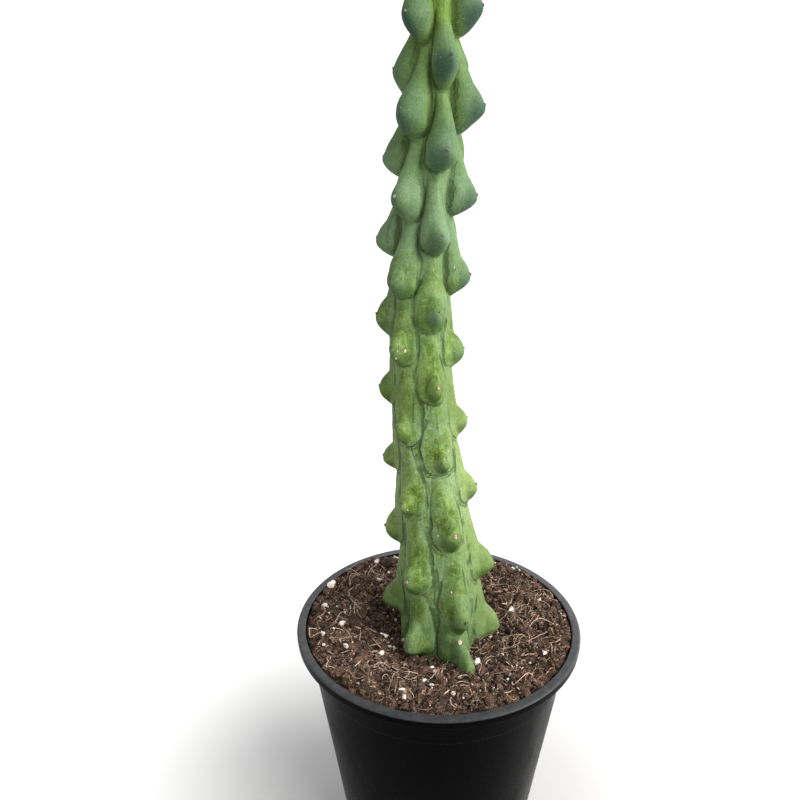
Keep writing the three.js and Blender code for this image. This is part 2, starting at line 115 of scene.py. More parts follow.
TIP_RADIUS = [(-9, 43), (-4, 32), (20, 29.6), (52, 26.8), (90, 22.6), (115, 21.6), (163, 22.6),
              (190, 24.2), (215, 23.6), (240, 22.2), (262, 22.8), (280, 19.6), (318, 17)]
DROP_ABOVE = [(0, 32), (60, 31), (160, 26), (240, 29), (262, 28), (278, 22)]
DROP_BELOW = [(0, 8), (50, 9.4), (75, 7), (90, 6.6), (107, 8.8), (160, 9.2), (167, 11.4), (200, 7.8),
              (221, 9.8), (238, 8.4), (262, 12.8), (282, 13.4), (300, 11)]
SPREAD_RADIUS = 14.4
DROP_HALF_WIDTH = [(-9, 9.5), (0, 9.8), (60, 9.4), (150, 8.6), (166, 9.4), (181, 7.4), (280, 7.6)]
DROP_TOP_HALF_WIDTH = [(0, 4), (200, 4.6), (260, 4.2)]
BODY_RISE = [(-9, 7), (0, 3.8), (33, 3.4), (52, 2.8), (75, 1.7), (125, 1), (148, 2), (163, 3.6), (183, 7.4),
             (202, 8.4), (240, 10.6)]
RIDGE_POWER = [(190, 1), (240, 1.2)]
SECTION_POWER = [(0, 1), (110, 0.9), (160, 0.6), (200, 0.5)]
CHIN_POWER = [(0, 0.5), (130, 0.4), (200, 0.6), (250, 0.66)]
TIP_ROUNDING = 5.5
NOSE_ABOVE = [(-9, 13), (0, 13), (52, 11), (90, 8), (107, 8.4), (163, 10), (250, 10)]
NOSE_BELOW = [(-9, 7), (0, 8), (52, 9.4), (90, 6.8), (107, 8.4), (163, 8.8), (250, 8)]
NOSE_HALF_WIDTH = [(-9, 7.6), (0, 7.4), (52, 6.6), (90, 5.2), (125, 5.8), (250, 7)]
NOSE_FULLNESS = 1.35
NOSE_POWER = 1.5
KEEL_HEIGHT = 0.5
KEEL_HALF_WIDTH = 1.9
KEEL_ABOVE = 1.8
KEEL_BELOW = 4.5
WANDER = 1.1
WANDER_STARTS = 10
WANDER_WAVES = [dict(length=11, turns=2, share=1, phase=0), dict(length=5.3, turns=-3, share=0.6, phase=1)]
AREOLE_ABOVE_TIP = 1.2


def ease(t):
    t = np.clip(t, 0, 1)
    return t * t * (3 - 2 * t)


def lerp(a, b, t):
    return a + (b - a) * t


def scatter(a, b):
    s = np.sin(a * 12.9898 + b * 78.233) * 43758.5453
    return s - np.floor(s)


def jitter(a, b):
    """The same scatter as one number from -1 to 1."""
    return 2 * float(scatter(a, b)) - 1


def noise(x, y, seed):
    """Value noise from 0 to 1 over a plane, as the part's own surface uses it."""
    i, j = np.floor(x), np.floor(y)
    u, v = ease(x - i), ease(y - j)
    corner = lambda di, dj: scatter(i + di + 31 * seed, j + dj)
    return lerp(lerp(corner(0, 0), corner(1, 0), u), lerp(corner(0, 1), corner(1, 1), u), v)


def noise3(p, scale, seed):
    """Value noise from -1 to 1 in space, for points in millimetres."""
    q = p / scale
    c = np.floor(q)
    f = ease(q - c)
    total = 0
    for k in range(8):
        d = np.array([k & 1, (k >> 1) & 1, (k >> 2) & 1])
        n = c + d
        s = np.sin(n[..., 0] * 12.9898 + n[..., 1] * 78.233 + n[..., 2] * 37.719 + seed * 5.37) * 43758.5453
        w = np.prod(np.where(d, f, 1 - f), axis=-1)
        total = total + w * (s - np.floor(s))
    return 2 * total - 1


def along(table, at):
    """A value read off a line of (position, value) pairs, eased between them."""
    at = np.asarray(at, float)
    out = np.full(at.shape, float(table[0][1]))
    for (a, va), (b, vb) in zip(table, table[1:]):
        out = np.where(at > a, lerp(va, vb, ease((at - a) / (b - a))), out)
    return out


# Meshes

def linked(name, data):
    """A new object in the scene for a mesh, a light or a camera."""
    obj = bpy.data.objects.new(name, data)
    bpy.context.scene.collection.objects.link(obj)
    return obj


def mesh_object(name, points, faces, material, smooth=True, **attributes):
    """A mesh from points in millimetres. Attributes are one number a point."""
    mesh = bpy.data.meshes.new(name)
    points = np.asarray(points, float).reshape(-1, 3) * MM
    mesh.from_pydata(points.tolist(), [], [list(map(int, f)) for f in faces])
    for key, values in attributes.items():
        layer = mesh.attributes.new(key, "FLOAT", "POINT")
        layer.data.foreach_set("value", np.asarray(values, np.float32).ravel())
    mesh.polygons.foreach_set("use_smooth", np.full(len(mesh.polygons), smooth))
    mesh.materials.append(material)
    mesh.update()
    return linked(name, mesh)


def dressed(piece):
    """The piece, riding on the one body."""
    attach(piece, "root")
    return piece


def circle(sides):
    """Evenly spaced angles, once round."""
    return 2 * np.pi * np.arange(sides) / sides


def grid_faces(rows, sides):
    """Four-sided faces over rows of points, where each row closes on itself."""
    i = np.arange(rows - 1)[:, None] * sides
    j = np.arange(sides)[None]
    k = (j + 1) % sides
    return np.stack([i + j, i + k, i + sides + k, i + sides + j], -1).reshape(-1, 4)


def lathe(line, sides):
    """A line of (radius, height) pairs turned round the middle: its points and its faces."""
    angle = circle(sides)
    heights = np.repeat(line[:, 1:], sides, 1)
    points = np.stack([line[:, :1] * np.cos(angle), line[:, :1] * np.sin(angle), heights], -1)
    return points, grid_faces(len(line), sides)


def ico(subdivisions):
    bm = bmesh.new()
    bmesh.ops.create_icosphere(bm, subdivisions=subdivisions, radius=1)
    points = np.array([v.co[:] for v in bm.verts])
    faces = np.array([[v.index for v in f.verts] for f in bm.faces])
    bm.free()
    return points, faces


def turns(count):
    """Random rotations."""
    q = rng.normal(size=(count, 4))
    q /= np.linalg.norm(q, axis=1, keepdims=True)
    w, x, y, z = q.T
    return np.stack([
        np.stack([1 - 2 * (y * y + z * z), 2 * (x * y - z * w), 2 * (x * z + y * w)], -1),
        np.stack([2 * (x * y + z * w), 1 - 2 * (x * x + z * z), 2 * (y * z - x * w)], -1),
        np.stack([2 * (x * z - y * w), 2 * (y * z + x * w), 1 - 2 * (x * x + y * y)], -1),
    ], 1)


def lumps(name, places, sizes, stretch, rough, detail, material, tilt=None, smooth=False):
    """Many small uneven lumps in one mesh. stretch is a scale for each lump along its own axes."""
    base, faces = ico(detail)
    count = len(places)
    r = turns(count) if tilt is None else tilt
    p = np.repeat(base[None], count, 0)
    bumps = noise3(p + rng.uniform(0, 90, (count, 1, 3)), 0.75, 3)
    fine = noise3(p + rng.uniform(0, 90, (count, 1, 3)), 0.33, 5)
    p = p * (1 + rough * bumps + 0.4 * rough * fine)[..., None] * stretch[:, None, :]
    p = np.einsum("nij,nkj->nki", r, p) * sizes[:, None, None] + places[:, None, :]
    f = faces[None] + (np.arange(count) * len(base))[:, None, None]
    tint = np.repeat(rng.random(count), len(base))
    height = p[..., 2].ravel() - np.repeat(places[:, 2], len(base))
    return mesh_object(name, p, f.reshape(-1, 3), material, smooth, tint=tint, up=height)


def tubes(name, paths, radii, sides, material):
    """Many thin tubes in one mesh, each with pointed ends. paths is (count, steps, 3)."""
    count, steps, _ = paths.shape
    along_path = np.gradient(paths, axis=1)
    along_path /= np.linalg.norm(along_path, axis=2, keepdims=True) + 1e-9
    side = np.cross(along_path, [0.31, 0.17, 0.93])
    side /= np.linalg.norm(side, axis=2, keepdims=True) + 1e-9
    other = np.cross(along_path, side)
    t = np.linspace(0, 1, steps)
    taper = np.clip(1.15 - (2 * t - 1) ** 6, 0.18, 1)
    angle = circle(sides)
    ring = side[:, :, None] * np.cos(angle)[:, None] + other[:, :, None] * np.sin(angle)[:, None]
    p = paths[:, :, None] + ring * (radii[:, None] * taper)[:, :, None, None]
    quads = grid_faces(steps, sides)[None] + (np.arange(count) * steps * sides)[:, None, None]
    tint = np.repeat(rng.random(count), steps * sides)
    return mesh_object(name, p, quads.reshape(-1, 4), material, True, tint=tint)


# Node helpers

class Nodes:
    """A short way to write a material's nodes."""

    def __init__(self, name):
        self.material = bpy.data.materials.new(name)
        self.material.use_nodes = True
        self.tree = self.material.node_tree
        self.tree.nodes.clear()
        self.out = self.tree.nodes.new("ShaderNodeOutputMaterial")
        self.shader = self.tree.nodes.new("ShaderNodeBsdfPrincipled")
        self.tree.links.new(self.shader.outputs[0], self.out.inputs[0])
        self.coords = self.tree.nodes.new("ShaderNodeTexCoord").outputs["Object"]

    def put(self, socket, value):
        if isinstance(value, bpy.types.NodeSocket):
            self.tree.links.new(value, socket)
        else:
            socket.default_value = value

    def set(self, **values):
        for key, value in values.items():
            self.put(self.shader.inputs[key.replace("_", " ")], value)

    def attribute(self, name):
        node = self.tree.nodes.new("ShaderNodeAttribute")
        node.attribute_name = name
        return node.outputs["Fac"]

    def scaled(self, scale):
        node = self.tree.nodes.new("ShaderNodeMapping")
        node.inputs["Scale"].default_value = scale
        self.tree.links.new(self.coords, node.inputs[0])
        return node.outputs[0]

    def noise(self, scale, detail=3, roughness=0.5, distortion=0, vector=None):
        node = self.tree.nodes.new("ShaderNodeTexNoise")
        self.put(node.inputs["Vector"], vector or self.coords)
        settings = dict(Scale=scale, Detail=detail, Roughness=roughness, Distortion=distortion)
        for key, value in settings.items():
            node.inputs[key].default_value = value
        return node.outputs["Fac"]

    def cells(self, scale):
        node = self.tree.nodes.new("ShaderNodeTexVoronoi")
        self.put(node.inputs["Vector"], self.coords)
        node.inputs["Scale"].default_value = scale
        return node.outputs["Distance"]

    def math(self, operation, a, b=0.0):
        node = self.tree.nodes.new("ShaderNodeMath")
        node.operation = operation
        self.put(node.inputs[0], a)
        self.put(node.inputs[1], b)
        return node.outputs[0]

    def plus(self, *terms):
        return reduce(partial(self.math, "ADD"), terms)

    def times(self, *factors):
        return reduce(partial(self.math, "MULTIPLY"), factors)

    def span(self, value, start, end, low=0.0, high=1.0):
        node = self.tree.nodes.new("ShaderNodeMapRange")
        node.interpolation_type = "SMOOTHSTEP"
        for socket, x in zip(node.inputs[:5], (value, start, end, low, high)):
            self.put(socket, x)
        return node.outputs[0]

    def mix(self, factor, a, b, blend="MIX"):
        node = self.tree.nodes.new("ShaderNodeMix")
        node.data_type = "RGBA"
        node.blend_type = blend
        node.clamp_factor = True
        self.put(node.inputs["Factor"], factor)
        for socket, colour in ((node.inputs[6], a), (node.inputs[7], b)):
            if isinstance(colour, tuple):
                colour = (*colour, 1)
            self.put(socket, colour)
        return node.outputs[2]

    def layers(self, colour, *over):
        """A colour with others laid over it in turn, each given as how much of it, and the colour."""
        for factor, top in over:
            colour = self.mix(factor, colour, top)
        return colour

    def stroke(self, name, wobble, width):
        """A thin line where an attribute of signed distance, in millimetres, passes zero."""
        away = self.math("ABSOLUTE", self.plus(self.attribute(name), wobble))
        alone = self.span(self.attribute(name + "_near"), 0.9, 1.5, 1, 0)
        return self.times(self.span(away, 0.25 * width, width, 1, 0), alone)

    def bump(self, height, distance, strength=1.0, normal=None):
        node = self.tree.nodes.new("ShaderNodeBump")
        node.inputs["Strength"].default_value = strength
        node.inputs["Distance"].default_value = distance
        self.put(node.inputs["Height"], height)
        if normal:
            self.put(node.inputs["Normal"], normal)
        return node.outputs[0]


# Materials, with their colours in linear red, green and blue

SKIN = dict(
    yellow_green=(0.095, 0.15, 0.036), deep_green=(0.044, 0.082, 0.005), grey_bloom=(0.094, 0.152, 0.078),
    old_shade=(0.034, 0.066, 0.005), old_dark=(0.028, 0.059, 0.006), old_pale=(0.15, 0.212, 0.064),
    crease_bloom_and_highlight=(0.135, 0.2, 0.096), painted_side_light=(0.148, 0.208, 0.07), old_fleck=(0.15, 0.21, 0.085),
    chin=(0.022, 0.05, 0.006), olive=(0.058, 0.104, 0.026), light_olive=(0.08, 0.135, 0.04),
    blue_green=(0.046, 0.088, 0.04), spot_and_shade=(0.0115, 0.032, 0.021), frost=(0.072, 0.12, 0.068),
    young_dark=(0.028, 0.056, 0.022), young_fleck=(0.095, 0.14, 0.082), dusted=(0.088, 0.144, 0.074),
    fresh=(0.078, 0.132, 0.012), foot=(0.02, 0.042, 0.008), darkest=(0.036, 0.068, 0.003),
    crease=(0.016, 0.036, 0.012), line=(0.017, 0.038, 0.008), dot=(0.22, 0.28, 0.12))
GRAIN_DARK, GRAIN_LIGHT = (0.76, 0.77, 0.72), (1.2, 1.18, 1.22)


def stem_material():
    n = Nodes("stem_skin")
    read = ("level", "rise", "tip", "crease", "chin", "edge", "side")
    level, rise, tip, crease, chin, edge, side = map(n.attribute, read)
    blotch = n.noise(55, 4, 0.6, 0.6)
    patch = n.noise(105, 5, 0.65, 0.6)
    cloud = n.noise(215, 6, 0.75, 0.8)
    fleck = n.noise(480, 5, 0.8, 0.5)
    mottle = n.noise(520, 3, 0.6)
    speck = n.noise(2600, 2, 0.7)
    streak = n.noise(1, 4, 0.6, 0.3, n.scaled((420, 420, 70)))
    face = n.noise(1, 4, 0.6, 0.7, n.scaled((120, 120, 45)))

    # Thin creases: the drops' outlines, a second line round the old ones, and loose wrinkles, all painted
    # dark as shade in the creases.
    wobble = n.times(n.plus(n.noise(260, 2), -0.5), 0.9)
    kept = n.span(n.noise(60, 2, 0.6), 0.38, 0.5, 0.12, 1)
    outlines = n.times(n.stroke("outline", wobble, 0.4), n.span(level, 0.3, 0.75, 1, 0.6))
    seconds = n.times(n.stroke("second", wobble, 0.34), 0.8)
    wrinkles = n.times(n.stroke("wrinkle", wobble, 0.28), n.span(level, 0.15, 0.4, 0.8, 0.35))
    lines = n.math("MAXIMUM", n.times(n.math("MAXIMUM", outlines, seconds), kept), wrinkles)

    # Old skin: yellow-green, with grey bloom left in patches, along creases and round the tips.
    # A stretch halfway up has lost its bloom.
    bare = n.times(n.span(level, 0.31, 0.38), n.span(level, 0.5, 0.43))
    bloom = n.plus(n.times(blotch, 0.6), n.times(patch, 0.5), n.times(streak, 0.25), n.times(edge, 0.12),
                   n.times(tip, 0.12), n.times(bare, -0.14), n.span(level, 0.1, 0.0, 0, 0.06))
    old = n.layers(
        n.mix(n.span(face, 0.45, 0.55), SKIN["yellow_green"], SKIN["deep_green"]),
        (n.span(bloom, 0.62, 0.84, 0, 0.7), SKIN["grey_bloom"]),
        (n.span(blotch, 0.47, 0.38, 0, 0.55), SKIN["old_shade"]),
        (n.span(cloud, 0.5, 0.58, 0, 0.45), SKIN["old_dark"]),
        (n.span(cloud, 0.47, 0.39, 0, 0.36), SKIN["old_pale"]),
        # The pale band beside each crease is partly grey bloom and partly a painted highlight on its ridge.
        (n.times(edge, 0.42), SKIN["crease_bloom_and_highlight"]),
        # Painted light: the stem's sides are lighter, the right more, as if lit from the side.
        (n.times(side, n.span(level, 0.48, 0.34, 0, 0.5)), SKIN["painted_side_light"]),
        (n.span(fleck, 0.53, 0.6, 0, 0.5), SKIN["old_fleck"]),
        # Painted shade: the skin under each tubercle's chin is darker.
        (n.times(chin, 0.65), SKIN["chin"]))

    # Young skin: olive green between the tubercles, blue-green on them, with dark spots at their tips, partly
    # pigment and partly painted shade set left of and below each tip, that are strongest near the top.
    young = n.layers(
        n.mix(n.span(patch, 0.3, 0.72), SKIN["olive"], SKIN["light_olive"]),
        (n.span(rise, 0.2, 0.85, 0, 0.85), SKIN["blue_green"]),
        (n.times(n.span(tip, 0.02, 1.0, 0, 0.93), n.span(level, 0.54, 0.88, 0.56, 1)), SKIN["spot_and_shade"]),
        (n.span(n.plus(n.times(blotch, 0.5), n.times(mottle, 0.5)), 0.46, 0.66, 0, 0.3), SKIN["frost"]),
        (n.span(cloud, 0.5, 0.64, 0, 0.35), SKIN["young_dark"]),
        (n.span(fleck, 0.53, 0.68, 0, 0.3), SKIN["young_fleck"]))

    # Where the two meet wanders up and down the stem. Above the middle a stretch has kept its bloom,
    # the new growth at the top is the yellowest, and the foot and a band below the middle are darker.
    age = n.plus(level, n.times(n.plus(blotch, -0.5), 0.5), n.times(tip, 0.1))
    dusted = n.times(n.span(level, 0.53, 0.6), n.span(level, 0.74, 0.65),
                     n.span(patch, 0.35, 0.6, 0.35, 0.75), n.span(tip, 0.05, 0.6, 1, 0.2))
    skin = n.layers(
        n.mix(n.span(age, 0.34, 0.72), old, young),
        (dusted, SKIN["dusted"]),
        (n.times(n.span(level, 0.78, 0.94), n.span(rise, 0.7, 0.1), 0.75), SKIN["fresh"]),
        (n.span(level, 0.22, 0.03, 0, 0.3), SKIN["foot"]),
        (n.times(n.span(level, 0.31, 0.35), n.span(level, 0.43, 0.39), 0.3), SKIN["darkest"]),
        # Painted shade: the creases and thin lines are darkened.
        (n.times(crease, 0.12), SKIN["crease"]),
        (n.times(lines, 0.78), SKIN["line"]))
    grain = n.plus(n.times(speck, 0.5), n.times(n.noise(1150, 3, 0.7), 0.5))
    skin = n.mix(1, skin, n.mix(n.span(grain, 0.38, 0.62), GRAIN_DARK, GRAIN_LIGHT), "MULTIPLY")
    dots = n.times(n.span(n.cells(420), 0.1, 0.16, 1, 0), n.span(n.noise(90, 2), 0.5, 0.62), 0.4)
    skin = n.mix(dots, skin, SKIN["dot"])

    normal = None
    for height, distance, strength in (
            (n.plus(n.times(mottle, 0.6), n.times(speck, 0.25)), 0.0006, 0.35),
            (streak, 0.0008, 0.25), (cloud, 0.0012, 0.3), (n.math("SUBTRACT", 1.0, lines), 0.0007, 0.8)):
        normal = n.bump(height, distance, strength, normal)
    n.set(Base_Color=skin, Roughness=n.span(mottle, 0.2, 0.8, 0.56, 0.72), Normal=normal)
    n.set(Specular_IOR_Level=0.12)
    return n.material


def simple_material(name, dark, light, scale, roughness, bump=0.0003, specular=0.3, spread=(0, 1)):
    """Two colours by piece and by noise."""
    n = Nodes(name)
    tint = n.attribute("tint")
    mottled = n.noise(scale, 4, 0.65)
    mixed = n.plus(n.times(tint, 0.55), n.times(mottled, 0.65))
    colour = n.mix(n.span(mixed, *spread), dark, light)
    n.set(Base_Color=colour, Roughness=roughness, Specular_IOR_Level=specular)
    n.set(Normal=n.bump(n.noise(scale * 2.2, 5, 0.7), bump, 0.9))
    return n.material


def soil_material():
    n = Nodes("potting_mix")
    up = n.attribute("up")
    coarse, fine = n.noise(240, 5, 0.7, 1.5), n.noise(700, 5, 0.75, 2.5)
    colour = n.layers(
        n.mix(n.span(coarse, 0.36, 0.64), (0.013, 0.007, 0.0045), (0.07, 0.038, 0.024)),
        (n.span(fine, 0.48, 0.38, 0, 0.85), (0.004, 0.0022, 0.0016)),
        (n.span(fine, 0.54, 0.64, 0, 0.85), (0.3, 0.19, 0.125)),
        # Painted shade: darker where the bed dips into the gaps between its lumps.
        (n.span(up, -2.2, 0.2, 0.95, 0), (0.005, 0.003, 0.0025)))
    n.set(Base_Color=colour, Roughness=0.95, Specular_IOR_Level=0.12)
    n.set(Normal=n.bump(n.plus(coarse, n.times(fine, 0.6)), 0.0012, 1.0))
    return n.material


def crumb_material():
    n = Nodes("peat_crumbs")
    tint = n.attribute("tint")
    coarse, fine = n.noise(420, 5, 0.7, 1.5), n.noise(1100, 5, 0.75, 2.5)
    colour = n.layers(
        n.mix(n.span(tint, 0.1, 0.95), (0.022, 0.0115, 0.007), (0.115, 0.062, 0.04)),
        (n.span(coarse, 0.36, 0.62, 0.8, 0), (0.008, 0.0045, 0.003)),
        (n.span(fine, 0.48, 0.38, 0, 0.75), (0.005, 0.003, 0.002)),
        (n.span(fine, 0.54, 0.64, 0, 0.85), (0.36, 0.23, 0.155)))
    n.set(Base_Color=colour, Roughness=0.93, Specular_IOR_Level=0.22)
    n.set(Normal=n.bump(n.plus(coarse, n.times(fine, 0.7)), 0.0008, 1.0))
    return n.material


def pot_material():
    n = Nodes("pot_plastic")
    smear, dust = n.noise(28, 4, 0.6, 1.2), n.noise(2400, 2, 0.6)
    wipe = n.noise(1, 3, 0.6, 0.4, n.scaled((60, 60, 9)))
    specks = n.times(n.span(n.cells(210), 0.035, 0.06, 1, 0), n.span(n.noise(33, 2), 0.56, 0.66), 0.5)
    haze = n.times(n.span(smear, 0.45, 0.75), 0.35)
    # Dust on the lip's top with a painted sheen, paler towards the back.
    dust_and_sheen = n.times(n.attribute("lip"), n.span(n.noise(330, 4, 0.65), 0.35, 0.65, 0.72, 1))
    # A painted highlight along the lip's outer edge.
    painted_rim_highlight = n.times(n.attribute("rim"), n.span(n.noise(60, 3, 0.6), 0.4, 0.6, 0.25, 1))
    colour = n.layers(
        n.mix(haze, (0.0003, 0.0003, 0.0003), (0.0014, 0.0011, 0.001)),
        (dust_and_sheen, (0.062, 0.064, 0.069)), (painted_rim_highlight, (0.13, 0.13, 0.12)), (specks, (0.2, 0.17, 0.14)))
    roughness = n.plus(n.span(smear, 0.3, 0.75, 0.2, 0.34), n.times(wipe, 0.08))
    n.set(Base_Color=colour, Roughness=roughness, Specular_IOR_Level=0.013)
    n.set(Normal=n.bump(n.plus(dust, n.times(wipe, 1.5)), 0.00002, 0.4))
    return n.material


def areole_material():
    n = Nodes("areole_felt")
    tint = n.attribute("tint")
    fuzz = n.noise(2200, 3, 0.7)
    colour = n.mix(n.span(tint, 0.55, 0.85), (0.022, 0.018, 0.018), (0.34, 0.21, 0.18))
    colour = n.mix(n.span(fuzz, 0.52, 0.66, 0, 0.4), colour, (0.42, 0.31, 0.28))
    n.set(Base_Color=colour, Roughness=0.9, Normal=n.bump(fuzz, 0.0004, 1.0))
    return n.material


STEM = stem_material()
SOIL = soil_material()
CRUMBS = crumb_material()
POT = pot_material()
FELT = areole_material()
SPINE = simple_material("stub_spines", (0.012, 0.008, 0.008), (0.13, 0.08, 0.07), 900, 0.6)
PERLITE = simple_material("perlite", (0.4, 0.36, 0.31), (0.8, 0.75, 0.67), 900, 0.9, 0.0008,
                          spread=(0.2, 0.8))
SHRED = simple_material("shredded_peat", (0.01, 0.0055, 0.0035), (0.62, 0.43, 0.31), 500, 0.9, 0.0002,
                        spread=(0.42, 1.15))
FIBRE = simple_material("coir_fibre", (0.09, 0.05, 0.028), (0.6, 0.45, 0.33), 300, 0.75, 0.0001,
                        spread=(0.15, 1))
BARK = simple_material("bark", (0.02, 0.011, 0.007), (0.085, 0.05, 0.033), 330, 0.85, 0.0008,
                       spread=(0.25, 0.95))
CORK = simple_material("corky_scars", (0.2, 0.12, 0.095), (0.46, 0.33, 0.28), 1500, 0.9, 0.0005, 0.1)


# Stem

def azimuth(rib, q):
    """Where a rib stands round the stem, as an angle."""
    return np.radians(FRONT_RIB_AZIMUTH - TWIST_PER_MM * q + 360 / RIBS * rib)


def from_rib(q, angle, rib, turn=0):
    """Angles from the middle of a rib, between minus and plus half a turn."""
    return (angle - azimuth(rib, q) - turn + np.pi) % (2 * np.pi) - np.pi


def rows_between(q, low, high):
    """The rows of a grid of levels that lie between two levels, or None."""
    rows = np.nonzero((q[:, 0] > low) & (q[:, 0] < high))[0]
    return slice(rows[0], rows[-1] + 1) if len(rows) else None


def axis(height):
    """The middle of the stem at a height above the lip."""
    height = np.asarray(height, float)
    wave = np.sin(np.pi * height / SWAY_LENGTH) ** 2
    x = FOOT_OF_AXIS[0] - DRIFT_PER_MM * height - SWAY * wave
    upright = FOOT_UPRIGHT * np.tanh(height / FOOT_UPRIGHT_LENGTH)
    y = FOOT_OF_AXIS[1] + LEAN * (1 - np.exp(-height / LEAN_LENGTH)) - upright
    return np.stack([x, y, POT_HEIGHT + height], -1)


def unit(v):
    return v / np.linalg.norm(v, axis=-1, keepdims=True)


def tubercle_level(n, rib):
    """Where a whorl's tubercle has its tip. The lowest whorls crowd, and the upper ones tilt."""
    wave = GROWTH_WAVE * math.sin(2 * math.pi * n / GROWTH_WAVE_WHORLS)
    crowding = BASE_CROWDING * math.exp(-(((n - CROWDED_WHORL) / CROWDED_WHORLS_SPREAD) ** 2))
    level = FIRST_WHORL + WHORL_STEP * n + WHORL_STEP_GROWTH * n * n + wave - crowding
    tilt = WHORL_TILT * float(ease((level - TILT_STARTS) / (TILT_FULL - TILT_STARTS)))
    lift = FRONT_LIFT * math.exp(-(((level - FRONT_LIFT_LEVEL) / FRONT_LIFT_SPREAD) ** 2))
    uneven = LEVEL_SPREAD * jitter(n + 3, rib + 7)
    stands = azimuth(rib, level)
    return level + tilt * math.sin(stands) + lift * math.cos(stands) + uneven


def make_drop(n, rib, level, turn):
    """A tubercle. Its sizes vary a little with its whorl and its rib."""
    vary = lambda k, amount: 1 + amount * jitter(n + 3 * k, rib + 7 * k)
    read = lambda table: float(along(table, level))
    return dict(
        rib=rib, level=level, turn=math.radians(turn), apex=False,
        body=read(BODY_RISE) * vary(8, 0.12), tip=read(TIP_RADIUS) + 0.8 * (vary(3, 1) - 1),
        half=read(DROP_HALF_WIDTH) * vary(4, 0.05), top_half=read(DROP_TOP_HALF_WIDTH) * vary(5, 0.1),
        above=min(read(DROP_ABOVE) * vary(6, 0.05), STEM_TIP - level), below=read(DROP_BELOW) * vary(7, 0.08),
        ridge=read(RIDGE_POWER), section=read(SECTION_POWER), chin=read(CHIN_POWER),
        nose_above=read(NOSE_ABOVE), nose_below=read(NOSE_BELOW), nose_half=read(NOSE_HALF_WIDTH))


def make_drops():
    drops = [make_drop(-1, **LOW_TUBERCLE)]
    for n in range(LAST_FULL_WHORL + 1):
        for rib in range(1 if n % 2 == 0 else 0, RIBS, 2):
            level = tubercle_level(n, rib)
            start, end = RIB_TURNS_FADE
            shift = RIB_TURNS[rib] * (1 - float(ease((level - start) / (end - start))))
            drops.append(make_drop(n, rib, level, TURN_SPREAD * jitter(n + 6, rib + 14) + shift))
    for i, (level, rise, half) in enumerate(APEX_WHORLS):
        for rib in range(0 if (i + LAST_FULL_WHORL) % 2 else 1, RIBS, 2):
            drops.append(dict(rib=rib, level=level, turn=0, body=rise, tip=0, half=half, top_half=half * 0.6,
                              above=STEM_TIP - level, below=half * 1.4, ridge=1, section=0.6, chin=0.8,
                              nose_above=5, nose_below=4, nose_half=4, apex=True))
    return drops


DROPS = make_drops()
WRINKLE_COUNT = 60
FAR_FROM_LINES = 6


def make_wrinkles():
    """Fine meandering furrows in the old skin, most of them in the valleys between the ribs."""
    spread = np.random.default_rng(8)
    wrinkles = []
    for k in range(WRINKLE_COUNT):
        between = 0.5 if k % 3 else 0.18
        wrinkles.append(dict(
            rib=k % RIBS + between + spread.uniform(-0.16, 0.16), level=spread.uniform(8, 250),
            length=spread.uniform(12, 36), period=spread.uniform(4, 9), phase=spread.uniform(0, 6.3),
            slant=spread.normal(0, 0.06), depth=spread.uniform(0.45, 0.95)))
    return wrinkles


WRINKLES = make_wrinkles()


